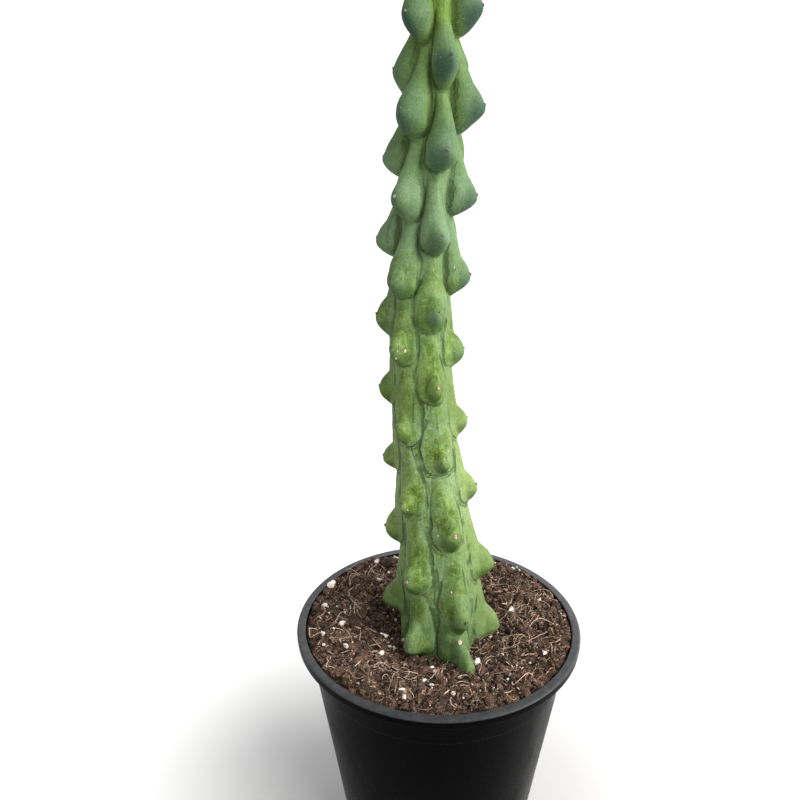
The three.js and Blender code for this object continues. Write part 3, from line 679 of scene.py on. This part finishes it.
def stem_relief(q, angle):
    """The relief over the core, and what the skin's colours follow, at arrays of levels and angles."""
    height, noses = np.zeros(q.shape), np.zeros(q.shape)
    tip, chin = np.zeros(q.shape), np.zeros(q.shape)
    lines = []
    spread = np.maximum(along(CORE_RADIUS, q), SPREAD_RADIUS)
    waves = [w["share"] * np.sin(q / w["length"] + w["turns"] * angle + w["phase"]) for w in WANDER_WAVES]
    wander = WANDER * sum(waves)
    shiver = 0.45 * noise3(np.stack([angle * 9, q * 0.35, angle * 0], -1), 1.6, 7)
    for d in DROPS:
        r = rows_between(q, d["level"] - d["below"] - 5, d["level"] + d["above"] + 4)
        if r is None:
            continue
        v = q[r] - d["level"]
        off = from_rib(q[r], angle[r], d["rib"], d["turn"])
        reach = np.where(v > 0, d["above"], d["below"])
        share = (np.hypot(v, TIP_ROUNDING) - TIP_ROUNDING) / (np.hypot(reach, TIP_ROUNDING) - TIP_ROUNDING)
        inside = np.clip(share, 0, 1)
        upper = lerp(d["top_half"], d["half"], ease(1 - inside))
        half = np.where(v > 0, upper, d["half"] * np.sqrt(1 - inside * inside))
        arc = spread[r] * off + wander[r] * ease(np.abs(v) / WANDER_STARTS)
        across = np.abs(arc) / np.maximum(half, 1e-6)
        flank = np.clip(1 - across * across, 0, 1)
        ridge = np.where(v > 0, (1 - inside) ** d["ridge"], (1 - inside) ** d["chin"])
        body = d["body"] * ridge * flank ** d["section"] * (share < 1)
        core = along(CORE_RADIUS, d["level"])
        nose_rise = max(d["tip"] - core - d["body"], 0)
        out = core + d["body"] + nose_rise
        sideways = out * off
        nose_reach = np.where(v > 0, d["nose_above"], d["nose_below"])
        part = (v / nose_reach) ** 2 + (sideways / d["nose_half"]) ** 2
        nose = nose_rise * np.clip(1 - part ** NOSE_FULLNESS, 0, 1) ** NOSE_POWER
        low_part = np.where(v > 0, v / KEEL_ABOVE, v / KEEL_BELOW)
        keel = KEEL_HEIGHT * np.exp(-(sideways / KEEL_HALF_WIDTH) ** 2 - low_part ** 2) * (not d["apex"])
        noses[r] = np.maximum(noses[r], nose + keel)
        # The distance outside the drop's outline, in millimetres, is 0 on it.
        side = np.abs(arc) + shiver[r] - half
        under = (np.hypot(arc / d["half"], inside) - 1) * d["below"] + np.maximum(-v - d["below"], 0)
        outline = np.where(v > 0, side + np.maximum(v - d["above"], 0), under)
        lines.append((r, outline, body, v, d))
        # The dark spot at each tip sits left of and below it: partly pigment, partly painted shade.
        young = float(ease((d["level"] - 150) / 70))
        wide = lerp(0.5, 1, young)
        from_spot = np.hypot((sideways + 2.8 * wide) / 8.6, (v + 4 * wide) / 11) / wide
        tip[r] = np.maximum(tip[r], lerp(0.6, 1, young) * np.clip(1.3 * (1 - from_spot), 0, 1))
        # Where shade is painted under each tubercle's chin.
        chin[r] = np.maximum(chin[r], ease(-v / 4) * ease((body + nose - 0.4) / 1.5) * (v < 0))
        height[r] = np.maximum(height[r], body)
    crease, groove, edge = np.zeros(q.shape), np.zeros(q.shape), np.zeros(q.shape)
    drawn = {key: np.full(q.shape, FAR_FROM_LINES) for key in ("outline", "second", "wrinkle")}
    near = {key: np.full(q.shape, FAR_FROM_LINES) for key in drawn}

    def draw(key, rows, distance, hidden):
        """Keep the signed distance to the nearest line of a kind, where nothing hides it."""
        cost = np.abs(distance) + FAR_FROM_LINES * np.clip(hidden, 0, 1)
        taken = cost < near[key][rows]
        drawn[key][rows] = np.where(taken, distance, drawn[key][rows])
        near[key][rows] = np.where(taken, cost, near[key][rows])

    for r, outline, body, v, d in lines:
        old = 1 - ease((d["level"] - 60) / 190)
        bare = np.clip(1 - (height[r] - body) / 0.6, 0, 1)
        first = np.exp(-((outline - 0.35) / 0.42) ** 2)
        second = np.exp(-((outline - 2.3 - shiver[r]) / 0.4) ** 2) * old * (0.3 + 0.7 * ease(shiver[r] + 0.5))
        line = np.maximum(first * (0.45 + 0.55 * old), 0.75 * second) * bare
        # Painted shade: where the crease lines are darkened in the skin's colour.
        crease[r] = np.maximum(crease[r], line)
        groove[r] = np.maximum(groove[r], line * lerp(0.45, 0.6, old))
        # The pale band beside each crease: partly bloom, partly a painted highlight.
        edge[r] = np.maximum(edge[r], np.exp(-((outline - 0.8) / 2.6) ** 2) * bare)
        top_left_out = ease((v / d["above"] - 0.5) / 0.35)
        draw("outline", r, outline - 0.3, 1 - bare * (1 - top_left_out))
        draw("second", r, outline - 2.2 - shiver[r], 1 - bare * old * (1 - ease((v - 3) / 8)))
    for w in WRINKLES:
        r = rows_between(q, w["level"] - w["length"] / 2, w["level"] + w["length"] / 2)
        if r is None:
            continue
        v = q[r] - w["level"]
        arc = spread[r] * from_rib(q[r], angle[r], w["rib"])
        arc = arc - 1.3 * np.sin(q[r] / w["period"] + w["phase"]) - w["slant"] * v
        ends = ease(4 * (0.5 - np.abs(v) / w["length"]))
        line = np.exp(-(arc / 0.45) ** 2) * ends * w["depth"]
        crease[r] = np.maximum(crease[r], line)
        groove[r] = np.maximum(groove[r], 0.6 * line)
        draw("wrinkle", r, arc, 1 - ends * w["depth"])
        edge[r] = np.maximum(edge[r], 0.8 * np.exp(-((np.abs(arc) - 1) / 0.8) ** 2) * ends)
    fade = ease(1 - noses / 2)
    broken = 0.25 + 0.75 * ease(0.5 + 1.6 * noise3(np.stack([angle * 12, q, angle * 0], -1), 11, 9))
    traces = {key: np.clip(values, -4, 4) for key, values in drawn.items()}
    traces.update({key + "_near": values + 2 * (1 - fade) for key, values in near.items()})
    return height + noses, groove * fade * broken, crease * fade * broken, edge * fade, tip, chin, traces


def stem_points(q, angle):
    furrow = FURROW_DEPTH * (0.5 - 0.5 * np.cos(RIBS * (angle - azimuth(0, q))))
    dome = float(along(CORE_RADIUS, SHOULDER))
    climb = np.clip((q - SHOULDER) / dome, 0, np.pi / 2)
    flat = np.cos(climb)
    buried = ease((q - STUMP_TOP) / STUMP_BLEND)
    stump = lerp(STUMP_END_RADIUS, STUMP_RADIUS, ease((q - STUMP_BOTTOM) / (STUMP_TOP - STUMP_BOTTOM)))
    core = lerp(stump, (along(CORE_RADIUS, q) - furrow) * flat, buried)
    height, groove, crease, edge, tip, chin, traces = stem_relief(q, angle)
    at = np.minimum(q, SHOULDER)
    up = unit(axis(at + 1) - axis(at - 1))
    away = np.array([0.0, 1.0, 0.0]) - up * up[..., 1:2]
    away = unit(away)
    right = np.cross(away, up)
    rough = 0.16 * noise3(np.stack([angle * 16, q, angle * 0], -1), 3.2, 1)
    rough = rough + 0.3 * noise3(np.stack([angle * 16, q * 0.5, angle * 0], -1), 7, 2)
    out = (height - groove + rough * ease((330 - q) / 20)) * buried
    radius = core + out * flat
    lift = (dome + out) * np.sin(climb)
    p = axis(at) + up * lift[..., None]
    p = p + right * (radius * np.sin(angle))[..., None] - away * (radius * np.cos(angle))[..., None]
    full = along(TIP_RADIUS, q) - along(CORE_RADIUS, q)
    traces.update(crease=crease, edge=edge, tip=tip, chin=chin, level=q / STEM_TIP)
    traces["rise"] = np.clip(height / full, 0, 1)
    # The right and left sides of the stem, painted lighter as if lit from the side, the right more
    across = np.sin(angle)
    traces["side"] = ease((np.abs(across) - 0.45) / 0.5) * np.where(across > 0, 1, 0.8)
    return p, traces


def make_stem():
    columns = 264
    top = SHOULDER + float(along(CORE_RADIUS, SHOULDER)) * math.pi / 2
    levels = np.concatenate([
        np.linspace(STUMP_BOTTOM, STUMP_TOP, 7)[:-1],
        np.linspace(STUMP_TOP, SHOULDER, 345)[:-1],
        np.linspace(SHOULDER, top - 0.35, 20)])
    q = np.repeat(levels[:, None], columns, 1)
    p, attributes = stem_points(q, azimuth(0, q) + circle(columns)[None])
    # A fan of triangles closes each end round one more point.
    low_point = axis(STUMP_BOTTOM) - [0, 0, STUMP_END_RADIUS / 2]
    points = np.concatenate([p.reshape(-1, 3), [low_point], [p[-1].mean(0)]])
    count = q.size
    faces = grid_faces(len(levels), columns).tolist()
    faces += [[(s + 1) % columns, s, count] for s in range(columns)]
    faces += [[count - columns + s, count - columns + (s + 1) % columns, count + 1] for s in range(columns)]
    padded = {}
    for key, values in attributes.items():
        padded[key] = np.concatenate([values.ravel(), [0, values[-1].mean()]])
    stem = dressed(mesh_object("cactus_stem", points, faces, STEM, True, **padded))
    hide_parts("cactus")
    return p, q


STEM_POINTS, STEM_Q = make_stem()


def on_stem(q, angle):
    """A point on the stem's skin, its outward direction, and the direction up the stem there."""
    step = 0.8
    p, _ = stem_points(np.array([[q] * 3] * 3) + np.array([[-step], [0], [step]]),
                       np.array([[angle - 0.04, angle, angle + 0.04]] * 3))
    across, upward = p[1, 2] - p[1, 0], p[2, 1] - p[0, 1]
    return p[1, 1], unit(np.cross(across, upward)), unit(upward)


BURIED_BELOW = -6
OLDEST_AREOLES = 60
OLD_AREOLES = 170
# Corky scars on the old skin: level, degrees round the stem, and size
SCARS = [(148, -26, 1.1), (148.5, -32, 0.6), (145, -35, 0.9), (71, -39, 0.6), (70, -33, 0.6), (55, 3, 0.6),
         (26, 14, 0.7), (2, 17, 1.5), (32, -41, 0.5), (12, -48, 0.6), (96, 41, 0.5), (188, 60, 0.5),
         (60, 118, 0.9), (112, 171, 0.8), (33, 205, 1), (150, 142, 0.7), (84, 236, 0.8)]


def make_scars():
    places, tilt = [], []
    for level, degrees, size in SCARS:
        p, out, up = on_stem(level, math.radians(degrees))
        places.append(p + out * 0.05)
        tilt.append(np.stack([np.cross(out, up), up, out], 1))
    sizes = np.array([size for _, _, size in SCARS]) * 0.8
    stretch = np.tile([0.8, 1.1, 0.3], (len(SCARS), 1))
    scars = lumps("corky_scars", np.array(places), sizes, stretch, 0.35, 3, CORK, np.array(tilt), True)
    dressed(scars)


def make_areoles():
    """A pad of felt with a few stub spines just above the tip of each tubercle."""
    pads, spines = [], []
    for d in DROPS:
        if d["apex"] or d["level"] < BURIED_BELOW:
            continue
        q = d["level"] + AREOLE_ABOVE_TIP
        angle = float(azimuth(d["rib"], q)) + d["turn"]
        p, out, up = on_stem(q, angle)
        side = np.cross(out, up)
        oldest = d["level"] < OLDEST_AREOLES
        size = rng.uniform(0.38, 0.6) * (1.6 if oldest else 1.25)
        pads.append((p + out * 0.05, size, np.stack([side, up, out], 1)))
        for _ in range(rng.integers(4, 7) if d["level"] < OLD_AREOLES else rng.integers(2, 4)):
            lean = unit(out + side * rng.normal(0, 0.9) + up * rng.normal(0.25, 0.7))
            if lean @ out < 0.15:
                continue
            length = rng.uniform(0.6, 1.2) * (1.5 if oldest else 1)
            root = p + side * rng.normal(0, 0.25) + up * rng.normal(0, 0.25) - out * 0.2
            t = np.linspace(0, 1, 5)[:, None]
            spines.append(root + lean * length * t)
    places, sizes, tilt = map(np.array, zip(*pads))
    stretch = np.tile([1.0, 1.15, 0.5], (len(pads), 1))
    dressed(lumps("areoles", places, sizes, stretch, 0.16, 3, FELT, tilt, True))
    dressed(tubes("stub_spines", np.array(spines), np.full(len(spines), 0.19), 5, SPINE))


make_areoles()
make_scars()


# Pot

def pot_radius(z):
    return lerp(WALL_BOTTOM_RADIUS, WALL_TOP_RADIUS, z / POT_HEIGHT)


def inner_radius(z):
    return pot_radius(z) - WALL


def rounded(profile, radius, steps=4):
    """The profile with each of its corners rounded, a radius for each point."""
    points = [np.array(p, float) for p in profile]
    out = [points[0]]
    for a, b, c, r in zip(points, points[1:], points[2:], radius[1:-1]):
        u, v = a - b, c - b
        lu, lv = np.linalg.norm(u), np.linalg.norm(v)
        cut = min(r, lu / 2.2, lv / 2.2)
        if cut < 0.02:
            out.append(b)
            continue
        start, end = b + u / lu * cut, b + v / lv * cut
        for t in np.linspace(0, 1, steps + 1):
            out.append((1 - t) ** 2 * start + 2 * t * (1 - t) * b + t * t * end)
    return out + [points[-1]]


def cones(name, segments, depth, low_radius, high_radius, places):
    """Upright cones or cylinders in one mesh, one about each place."""
    bm = bmesh.new()
    for place in places:
        bmesh.ops.create_cone(bm, cap_ends=True, segments=segments, depth=depth * MM,
                              radius1=low_radius * MM, radius2=high_radius * MM,
                              matrix=Matrix.Translation([v * MM for v in place]))
    mesh = bpy.data.meshes.new(name)
    bm.to_mesh(mesh)
    bm.free()
    return linked(name, mesh)


FOOT_INNER_RADIUS = WALL_BOTTOM_RADIUS - FOOT_WIDTH
FLOOR_TOP = FLOOR_RAISE + FLOOR_THICKNESS


def make_wall():
    """The pot's wall from its foot ring up, over the lip and down inside."""
    top, sides = POT_HEIGHT, 192
    collar, skirt = top - COLLAR_DEPTH, top - LIP_SKIRT
    # Each corner of the profile has its radius, its height and how much it is rounded.
    profile = [
        (FOOT_INNER_RADIUS - FLOOR_RAISE, FLOOR_RAISE, 0), (FOOT_INNER_RADIUS, 0, 0.5),
        (WALL_BOTTOM_RADIUS - FOOT_CHAMFER, 0, 0.8), (pot_radius(FOOT_CHAMFER), FOOT_CHAMFER, 0.8),
        (pot_radius(collar), collar, 0.35), (pot_radius(collar) + COLLAR_STEP, collar + COLLAR_STEP, 0.35),
        (pot_radius(skirt) + COLLAR_STEP, skirt, 0.5), (LIP_RADIUS - 0.4, skirt, 0.5),
        (LIP_RADIUS, top - LIP_ROUNDING, 1), (LIP_RADIUS - LIP_ROUNDING, top, 0.8),
        (LIP_RADIUS - LIP_WIDTH + LIP_ROUNDING / 2, top, 0.4),
        (LIP_RADIUS - LIP_WIDTH, top - LIP_ROUNDING / 2, 0.4), (inner_radius(skirt), skirt, 1.5),
        (inner_radius(FLOOR_TOP + 3), FLOOR_TOP + 3, 1), (inner_radius(FLOOR_TOP) - 3, FLOOR_TOP, 0),
    ]
    line = np.array(rounded([p[:2] for p in profile], [p[2] for p in profile]))
    p, quads = lathe(line, sides)
    angle = circle(sides)
    out = np.hypot(p[..., 0], p[..., 1])
    # Dust on the lip's top, with a painted sheen that is paler towards the back and darker at the front.
    lip_dust_and_sheen = ease((p[..., 2] - top + 1.4) / 0.9) * (out > LIP_RADIUS - LIP_WIDTH)
    lip_dust_and_sheen = lip_dust_and_sheen * (1 + 0.55 * np.sin(angle))
    # The lip's outer edge has a painted pale highlight, most of all on the right.
    rim = ease((out - LIP_RADIUS + 0.4) / 0.35) * ease((p[..., 2] - top + 1.2) / 0.6)
    rim = rim * (0.1 + 0.9 * ease(np.cos(angle)))
    pot = dressed(mesh_object("nursery_pot", p, quads, POT, True, lip=lip_dust_and_sheen, rim=rim))
    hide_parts("pot")


def make_floor():
    """The pot's floor, a disc with drain holes cut through it."""
    middle = FLOOR_RAISE + FLOOR_THICKNESS / 2
    disc = cones("pot_floor", 96, FLOOR_THICKNESS, FOOT_INNER_RADIUS - 1, FOOT_INNER_RADIUS + 1,
                 [(0, 0, middle)])
    disc.data.materials.append(POT)
    holes = [(DRAIN_RING_RADIUS * math.cos(a), DRAIN_RING_RADIUS * math.sin(a), FLOOR_RAISE)
             for a in circle(DRAIN_COUNT)]
    cutter = cones("drain_cutter", 32, 20, DRAIN_RADIUS, DRAIN_RADIUS, holes + [(0, 0, FLOOR_RAISE)])
    cut = disc.modifiers.new("drains", "BOOLEAN")
    cut.operation = "DIFFERENCE"
    cut.object = cutter
    bpy.context.view_layer.update()
    evaluated = disc.evaluated_get(bpy.context.evaluated_depsgraph_get())
    finished = bpy.data.meshes.new_from_object(evaluated)
    disc.modifiers.clear()
    disc.data = finished
    bpy.data.objects.remove(cutter)
    dressed(disc)


make_wall()
make_floor()


# Soil

def soil_level(x, y):
    from_stem = np.hypot(x - FOOT_OF_AXIS[0], y - FOOT_OF_AXIS[1])
    hollow = SOIL_HOLLOW_DEPTH * np.exp(-((from_stem / SOIL_HOLLOW_RADIUS) ** 4))
    return POT_HEIGHT - SOIL_BELOW_LIP - hollow


def wall_height(radius):
    """How high the slope inside the lip is, at a distance from the pot's middle."""
    skirt = POT_HEIGHT - LIP_SKIRT
    foot = inner_radius(skirt)
    return skirt + (radius - foot) / (LIP_RADIUS - LIP_WIDTH - foot) * (LIP_SKIRT - LIP_ROUNDING / 2)


def soil_surface(x, y):
    clods = noise(x / CLOD_SIZE, y / CLOD_SIZE, 1) - 0.5
    crumbs = noise(2 * x / CLOD_SIZE, 2 * y / CLOD_SIZE, 2) - 0.5
    heaped = soil_level(x, y) + CLOD_HEIGHT * (clods + 0.6 * crumbs)
    return np.maximum(heaped, wall_height(np.hypot(x, y)) + 0.5)


def pebbled(x, y, size, seed):
    """Rounded lumps side by side, from 0 in the gaps to 1 on their tops."""
    i, j = np.floor(x / size), np.floor(y / size)
    near = np.full(np.shape(x), 9.0)
    tall = np.zeros(np.shape(x))
    for di in (-1, 0, 1):
        for dj in (-1, 0, 1):
            cx = (i + di + scatter(i + di + seed, j + dj)) * size
            cy = (j + dj + scatter(i + di, j + dj + seed)) * size
            d = np.hypot(x - cx, y - cy) / size
            tall = np.where(d < near, scatter(i + di + 2 * seed, j + dj), tall)
            near = np.minimum(near, d)
    return np.sqrt(np.clip(1 - (near / 0.85) ** 2, 0, 1)) * lerp(0.35, 1, tall)


def bed_height(x, y):
    lump = 2.2 * pebbled(x, y, 6.2, 3) + 1.5 * pebbled(x, y, 2.9, 8) + 0.7 * pebbled(x, y, 1.4, 5)
    return np.maximum(soil_surface(x, y) - 2.9 + lump, wall_height(np.hypot(x, y)) + 0.2)


SOIL_EDGE = LIP_RADIUS - LIP_WIDTH - 0.8
BED_FOOT = 118
# The soil's level at the stem, measured up from the lip
SOIL_AT_STEM = -9


def make_bed():
    """The soil's pebbled top with a skirt down the wall, and the mass under it."""
    sides, rings = 380, 118
    radii = np.linspace(SOIL_EDGE, 12, rings)[:, None]
    x, y = radii * np.cos(circle(sides)), radii * np.sin(circle(sides))
    skirt = [(inner_radius(z) - 0.4, z) for z in (BED_FOOT, POT_HEIGHT - LIP_SKIRT)]
    p = np.concatenate([lathe(np.array(skirt), sides)[0], np.stack([x, y, bed_height(x, y)], -1)])
    up = p[..., 2] - soil_surface(p[..., 0], p[..., 1])
    bed = dressed(mesh_object("soil_bed", p, grid_faces(len(p), sides), SOIL, True, up=up))
    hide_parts("soil")
    # Through the drain holes the mix shows as a flat dark mass.
    floor = FLOOR_TOP + 0.35
    edge = inner_radius(floor + 3)
    line = [(1, floor), (edge - 4, floor), (edge - 0.4, floor + 3),
            (inner_radius(BED_FOOT + 1) - 0.5, BED_FOOT + 1)]
    p, quads = lathe(np.array(line), 96)
    dressed(mesh_object("soil_mass", p, quads, SOIL, True, up=np.zeros(p.shape[:2])))


make_bed()


def stem_radius_at(angle):
    """How far the stem reaches from its axis at the soil's level, at angles about it."""
    row = np.argmin(np.abs(STEM_Q[:, 0] - SOIL_AT_STEM))
    d = STEM_POINTS[row] - axis(STEM_Q[row, 0])
    a = np.arctan2(d[:, 1], d[:, 0])
    order = np.argsort(a)
    return np.interp(angle, a[order], np.hypot(d[:, 0], d[:, 1])[order], period=2 * np.pi)


def spots(count, margin, reach=None):
    """Places on the soil, clear of the stem by margin and inside the pot's wall."""
    found = np.zeros((0, 2))
    while len(found) < count:
        r = (reach or SOIL_EDGE - 1) * np.sqrt(rng.random(count * 2))
        a = rng.uniform(0, 2 * np.pi, count * 2)
        x, y = r * np.cos(a), r * np.sin(a)
        base = axis(SOIL_AT_STEM)
        dx, dy = x - base[0], y - base[1]
        keep = np.hypot(dx, dy) > stem_radius_at(np.arctan2(dy, dx)) + margin
        found = np.concatenate([found, np.stack([x, y], -1)[keep]])
    return found[:count]


def rest_on_soil(xy, lift):
    z = soil_surface(xy[:, 0], xy[:, 1]) + lift
    return np.concatenate([xy, z[:, None]], 1)


def make_crumbs():
    """Clods and crumbs of peat in four sizes, the coarse ones sunk in and the grit on top."""
    for name, count, low_size, high_size, detail, lift in (
            ("peat_clods", 110, 2.4, 4.6, 3, -1.1),
            ("peat_lumps", 620, 1.3, 2.9, 2, -0.3),
            ("peat_crumbs", 1900, 0.6, 1.6, 2, 0.3),
            ("peat_grit", 5000, 0.25, 0.7, 1, 0.7)):
        xy = spots(count, 0.4)
        sizes = low_size + (high_size - low_size) * rng.random(count) ** 2
        where = rest_on_soil(xy, lift + rng.normal(0, 0.8, count))
        inside = SOIL_EDGE - 0.4 - sizes * 0.8
        r = np.hypot(where[:, 0], where[:, 1])
        where[:, :2] *= np.minimum(1, inside / r)[:, None]
        stretch = rng.uniform(0.65, 1.25, (count, 3))
        dressed(lumps(name, where, sizes, stretch, 0.55, detail, CRUMBS))


def make_shreds():
    """Torn bits of peat and bark, thin and straight, that lie in bundles as they were shredded."""
    kinds = (("peat_shreds", 4200, (1, 3.6), (0.16, 0.42)), ("long_shreds", 380, (4, 8), (0.18, 0.42)))
    for name, count, length, radius in kinds:
        steps = 5
        xy = spots(count, 0.8, SOIL_EDGE - 2)
        bundle = 2 * np.pi * noise(xy[:, 0] / 7, xy[:, 1] / 7, 4) * 2
        heading = bundle + rng.normal(0, 0.55, count)
        pitch = rng.normal(0, 0.3, count)
        long = rng.uniform(*length, count)
        t = np.linspace(-0.5, 0.5, steps)
        reach = (long * np.cos(pitch))[:, None] * t
        bend = rng.normal(0, 0.12, count)[:, None] * long[:, None] * (4 * t * t)
        x = xy[:, :1] + np.cos(heading)[:, None] * reach - np.sin(heading)[:, None] * bend
        y = xy[:, 1:] + np.sin(heading)[:, None] * reach + np.cos(heading)[:, None] * bend
        pull = np.minimum(1, (SOIL_EDGE - 0.8) / np.hypot(x, y))
        x, y = x * pull, y * pull
        z = soil_surface(x, y) + rng.normal(0.8, 0.8, count)[:, None] + (long * np.sin(pitch))[:, None] * t
        dressed(tubes(name, np.stack([x, y, z], -1), rng.uniform(*radius, count), 3, SHRED))


PERLITE_COUNT = 120
BROKEN_GRAINS, PIECES_OF_EACH = 16, 4
LARGEST_PERLITE, LARGEST_PERLITE_SIZE = (-61, 30), 2.3
LARGEST_PERLITE_LIFT = 1.2


def make_perlite():
    """White grains: single ones, and a few broken ones that lie together."""
    xy = spots(PERLITE_COUNT, 1.5, SOIL_EDGE - 2)
    sizes = 0.35 + 1.7 * rng.random(PERLITE_COUNT) ** 3
    crowd = np.repeat(np.arange(BROKEN_GRAINS), PIECES_OF_EACH)
    xy = np.concatenate([xy, xy[crowd] + rng.normal(0, 0.9, (len(crowd), 2))])
    sizes = np.concatenate([sizes, rng.uniform(0.25, 0.6, len(crowd))])
    xy[0], sizes[0] = LARGEST_PERLITE, LARGEST_PERLITE_SIZE
    where = rest_on_soil(xy, rng.normal(0.9, 0.5, len(xy)))
    where[0, 2] += LARGEST_PERLITE_LIFT
    stretch = rng.uniform(0.6, 1.3, (len(xy), 3))
    dressed(lumps("perlite", where, sizes, stretch, 0.8, 2, PERLITE))


def make_bark():
    """Flat chips that lie nearly level, turned any way."""
    count = 46
    xy = spots(count, 4, SOIL_EDGE - 5)
    sizes = rng.uniform(1.0, 2.6, count)
    stretch = np.stack([rng.uniform(*s, count) for s in ((1.0, 2.2), (0.5, 0.8), (0.22, 0.4))], -1)
    yaw, pitch = rng.uniform(0, 2 * np.pi, count), rng.normal(0, 0.25, count)
    c, s, cp, sp = np.cos(yaw), np.sin(yaw), np.cos(pitch), np.sin(pitch)
    zero = np.zeros(count)
    tilt = np.stack([np.stack([c * cp, -s, c * sp], -1), np.stack([s * cp, c, s * sp], -1),
                     np.stack([-sp, zero, cp], -1)], 1)
    where = rest_on_soil(xy, rng.normal(0.9, 0.4, count))
    dressed(lumps("bark_chips", where, sizes, stretch, 0.22, 3, BARK, tilt))


TANGLES = np.array([[36, -20], [46, 4], [-26, -40], [30, 33], [-46, 14], [54, 28], [-30, 42], [8, 54]])


def make_fibres():
    """Pale coir fibres that lie across the soil, some alone and some in tangles."""
    kinds = (("fibres", 150, (5, 20), (0.06, 0.15), 0.035, False),
             ("tangled_fibres", 230, (3, 11), (0.045, 0.1), 0.05, True))
    for name, count, length, radius, curl, tangled in kinds:
        steps = 16
        start = spots(count, 2, SOIL_EDGE - 4)
        if tangled:
            start = TANGLES[rng.integers(0, len(TANGLES), count)] + rng.normal(0, 5, (count, 2))
        heading = rng.uniform(0, 2 * np.pi, count)
        bend = rng.normal(0, curl, count)
        long = rng.uniform(*length, count)
        p = np.zeros((count, steps, 3))
        x, y = start.T
        for k in range(steps):
            p[:, k, 0], p[:, k, 1] = x, y
            bend = bend + rng.normal(0, curl, count)
            heading = heading + bend
            x, y = x + np.cos(heading) * long / steps, y + np.sin(heading) * long / steps
            pull = np.minimum(1, (SOIL_EDGE - 1) / np.hypot(x, y))
            x, y = x * pull, y * pull
        arch = np.sin(np.linspace(0, np.pi, steps))[None] * np.abs(rng.normal(0, 1.5, count))[:, None]
        p[..., 2] = soil_surface(p[..., 0], p[..., 1]) + 1.1 + arch + rng.normal(0.4, 0.5, count)[:, None]
        p[:, 0, 2] -= 1.5
        dressed(tubes(name, p, rng.uniform(*radius, count), 5, FIBRE))


make_crumbs()
make_shreds()
make_perlite()
make_bark()
make_fibres()


# Studio

def make_stage():
    """A pale floor that curves up into a wall all round, far off."""
    n = Nodes("stage_paper")
    tone = n.noise(3, 2)
    n.set(Base_Color=n.mix(tone, (0.3, 0.3, 0.3), (0.31, 0.31, 0.31)), Roughness=0.95, Specular_IOR_Level=0.1)
    n.set(Emission_Color=(1, 1, 1, 1), Emission_Strength=n.attribute("glow"))
    line = [(r, 0) for r in (0, 60, 90, 120, 150, 180, 210, 240, 300, 400, 500, 700, 900, 1100, 1300, 1500)]
    line += [(1500 + 900 * math.sin(a), 900 - 900 * math.cos(a)) for a in np.linspace(0, math.pi / 2, 12)[1:]]
    line += [(2400, 2600)]
    p, quads = lathe(np.array(line), 96)
    out = np.hypot(p[..., 0], p[..., 1])
    # The floor glows; its glow is dimmed near the pot as painted shade round the foot.
    glow = 0.12 + 0.5 * ease((out - 60) / 170) + 0.2 * ease((out - 100) / 1200)
    mesh_object("floor", p, quads, n.material, glow=glow)


def area_light(name, place, target, size, power, colour=(1, 1, 1)):
    data = bpy.data.lights.new(name, "AREA")
    data.shape = "DISK"
    data.size = size
    data.energy = power
    data.color = colour
    light = linked(name, data)
    light.location = place
    light.rotation_euler = (Vector(target) - Vector(place)).to_track_quat("-Z", "Y").to_euler()


# The focal length is in pixels of a picture this wide.
PICTURE_WIDTH = 800
FOCAL_LENGTH = 740
SENSOR_WIDTH = 36
CAMERA_PLACE = (-0.0196, -0.3406, 0.3837)
LOOKS_DOWN = 19.36
ROLL = 0.42


def make_camera():
    pitch, roll = math.radians(LOOKS_DOWN), math.radians(ROLL)
    forward = Vector((0, math.cos(pitch), -math.sin(pitch)))
    level_right = Vector((1, 0, 0))
    level_down = forward.cross(level_right)
    image_right = math.cos(roll) * level_right + math.sin(roll) * level_down
    image_down = -math.sin(roll) * level_right + math.cos(roll) * level_down
    data = bpy.data.cameras.new("camera")
    data.sensor_width = SENSOR_WIDTH
    data.lens = SENSOR_WIDTH * FOCAL_LENGTH / PICTURE_WIDTH
    data.clip_start = 0.01
    camera = linked("camera", data)
    turn = Matrix((image_right, -image_down, -forward)).transposed().to_4x4()
    camera.matrix_world = Matrix.Translation(CAMERA_PLACE) @ turn
    bpy.context.scene.camera = camera


make_stage()
make_camera()
middle = (0, 0.02, 0.25)
area_light("key", (0.92, -0.48, 1.05), middle, 1.7, 70, (1, 0.985, 0.96))
area_light("fill", (-0.9, -0.7, 1.2), middle, 1.2, 2.5, (0.95, 0.98, 1))
area_light("side_light", (1.05, 0.7, 0.25), (0, 0, 0.12), 0.35, 4)

world = bpy.data.worlds.new("studio")
world.use_nodes = True
background = world.node_tree.nodes["Background"]
background.inputs["Color"].default_value = (1, 1, 1, 1)
background.inputs["Strength"].default_value = 0.39
bpy.context.scene.world = world
bpy.context.scene.view_settings.view_transform = "Standard"

bpy.context.view_layer.update()
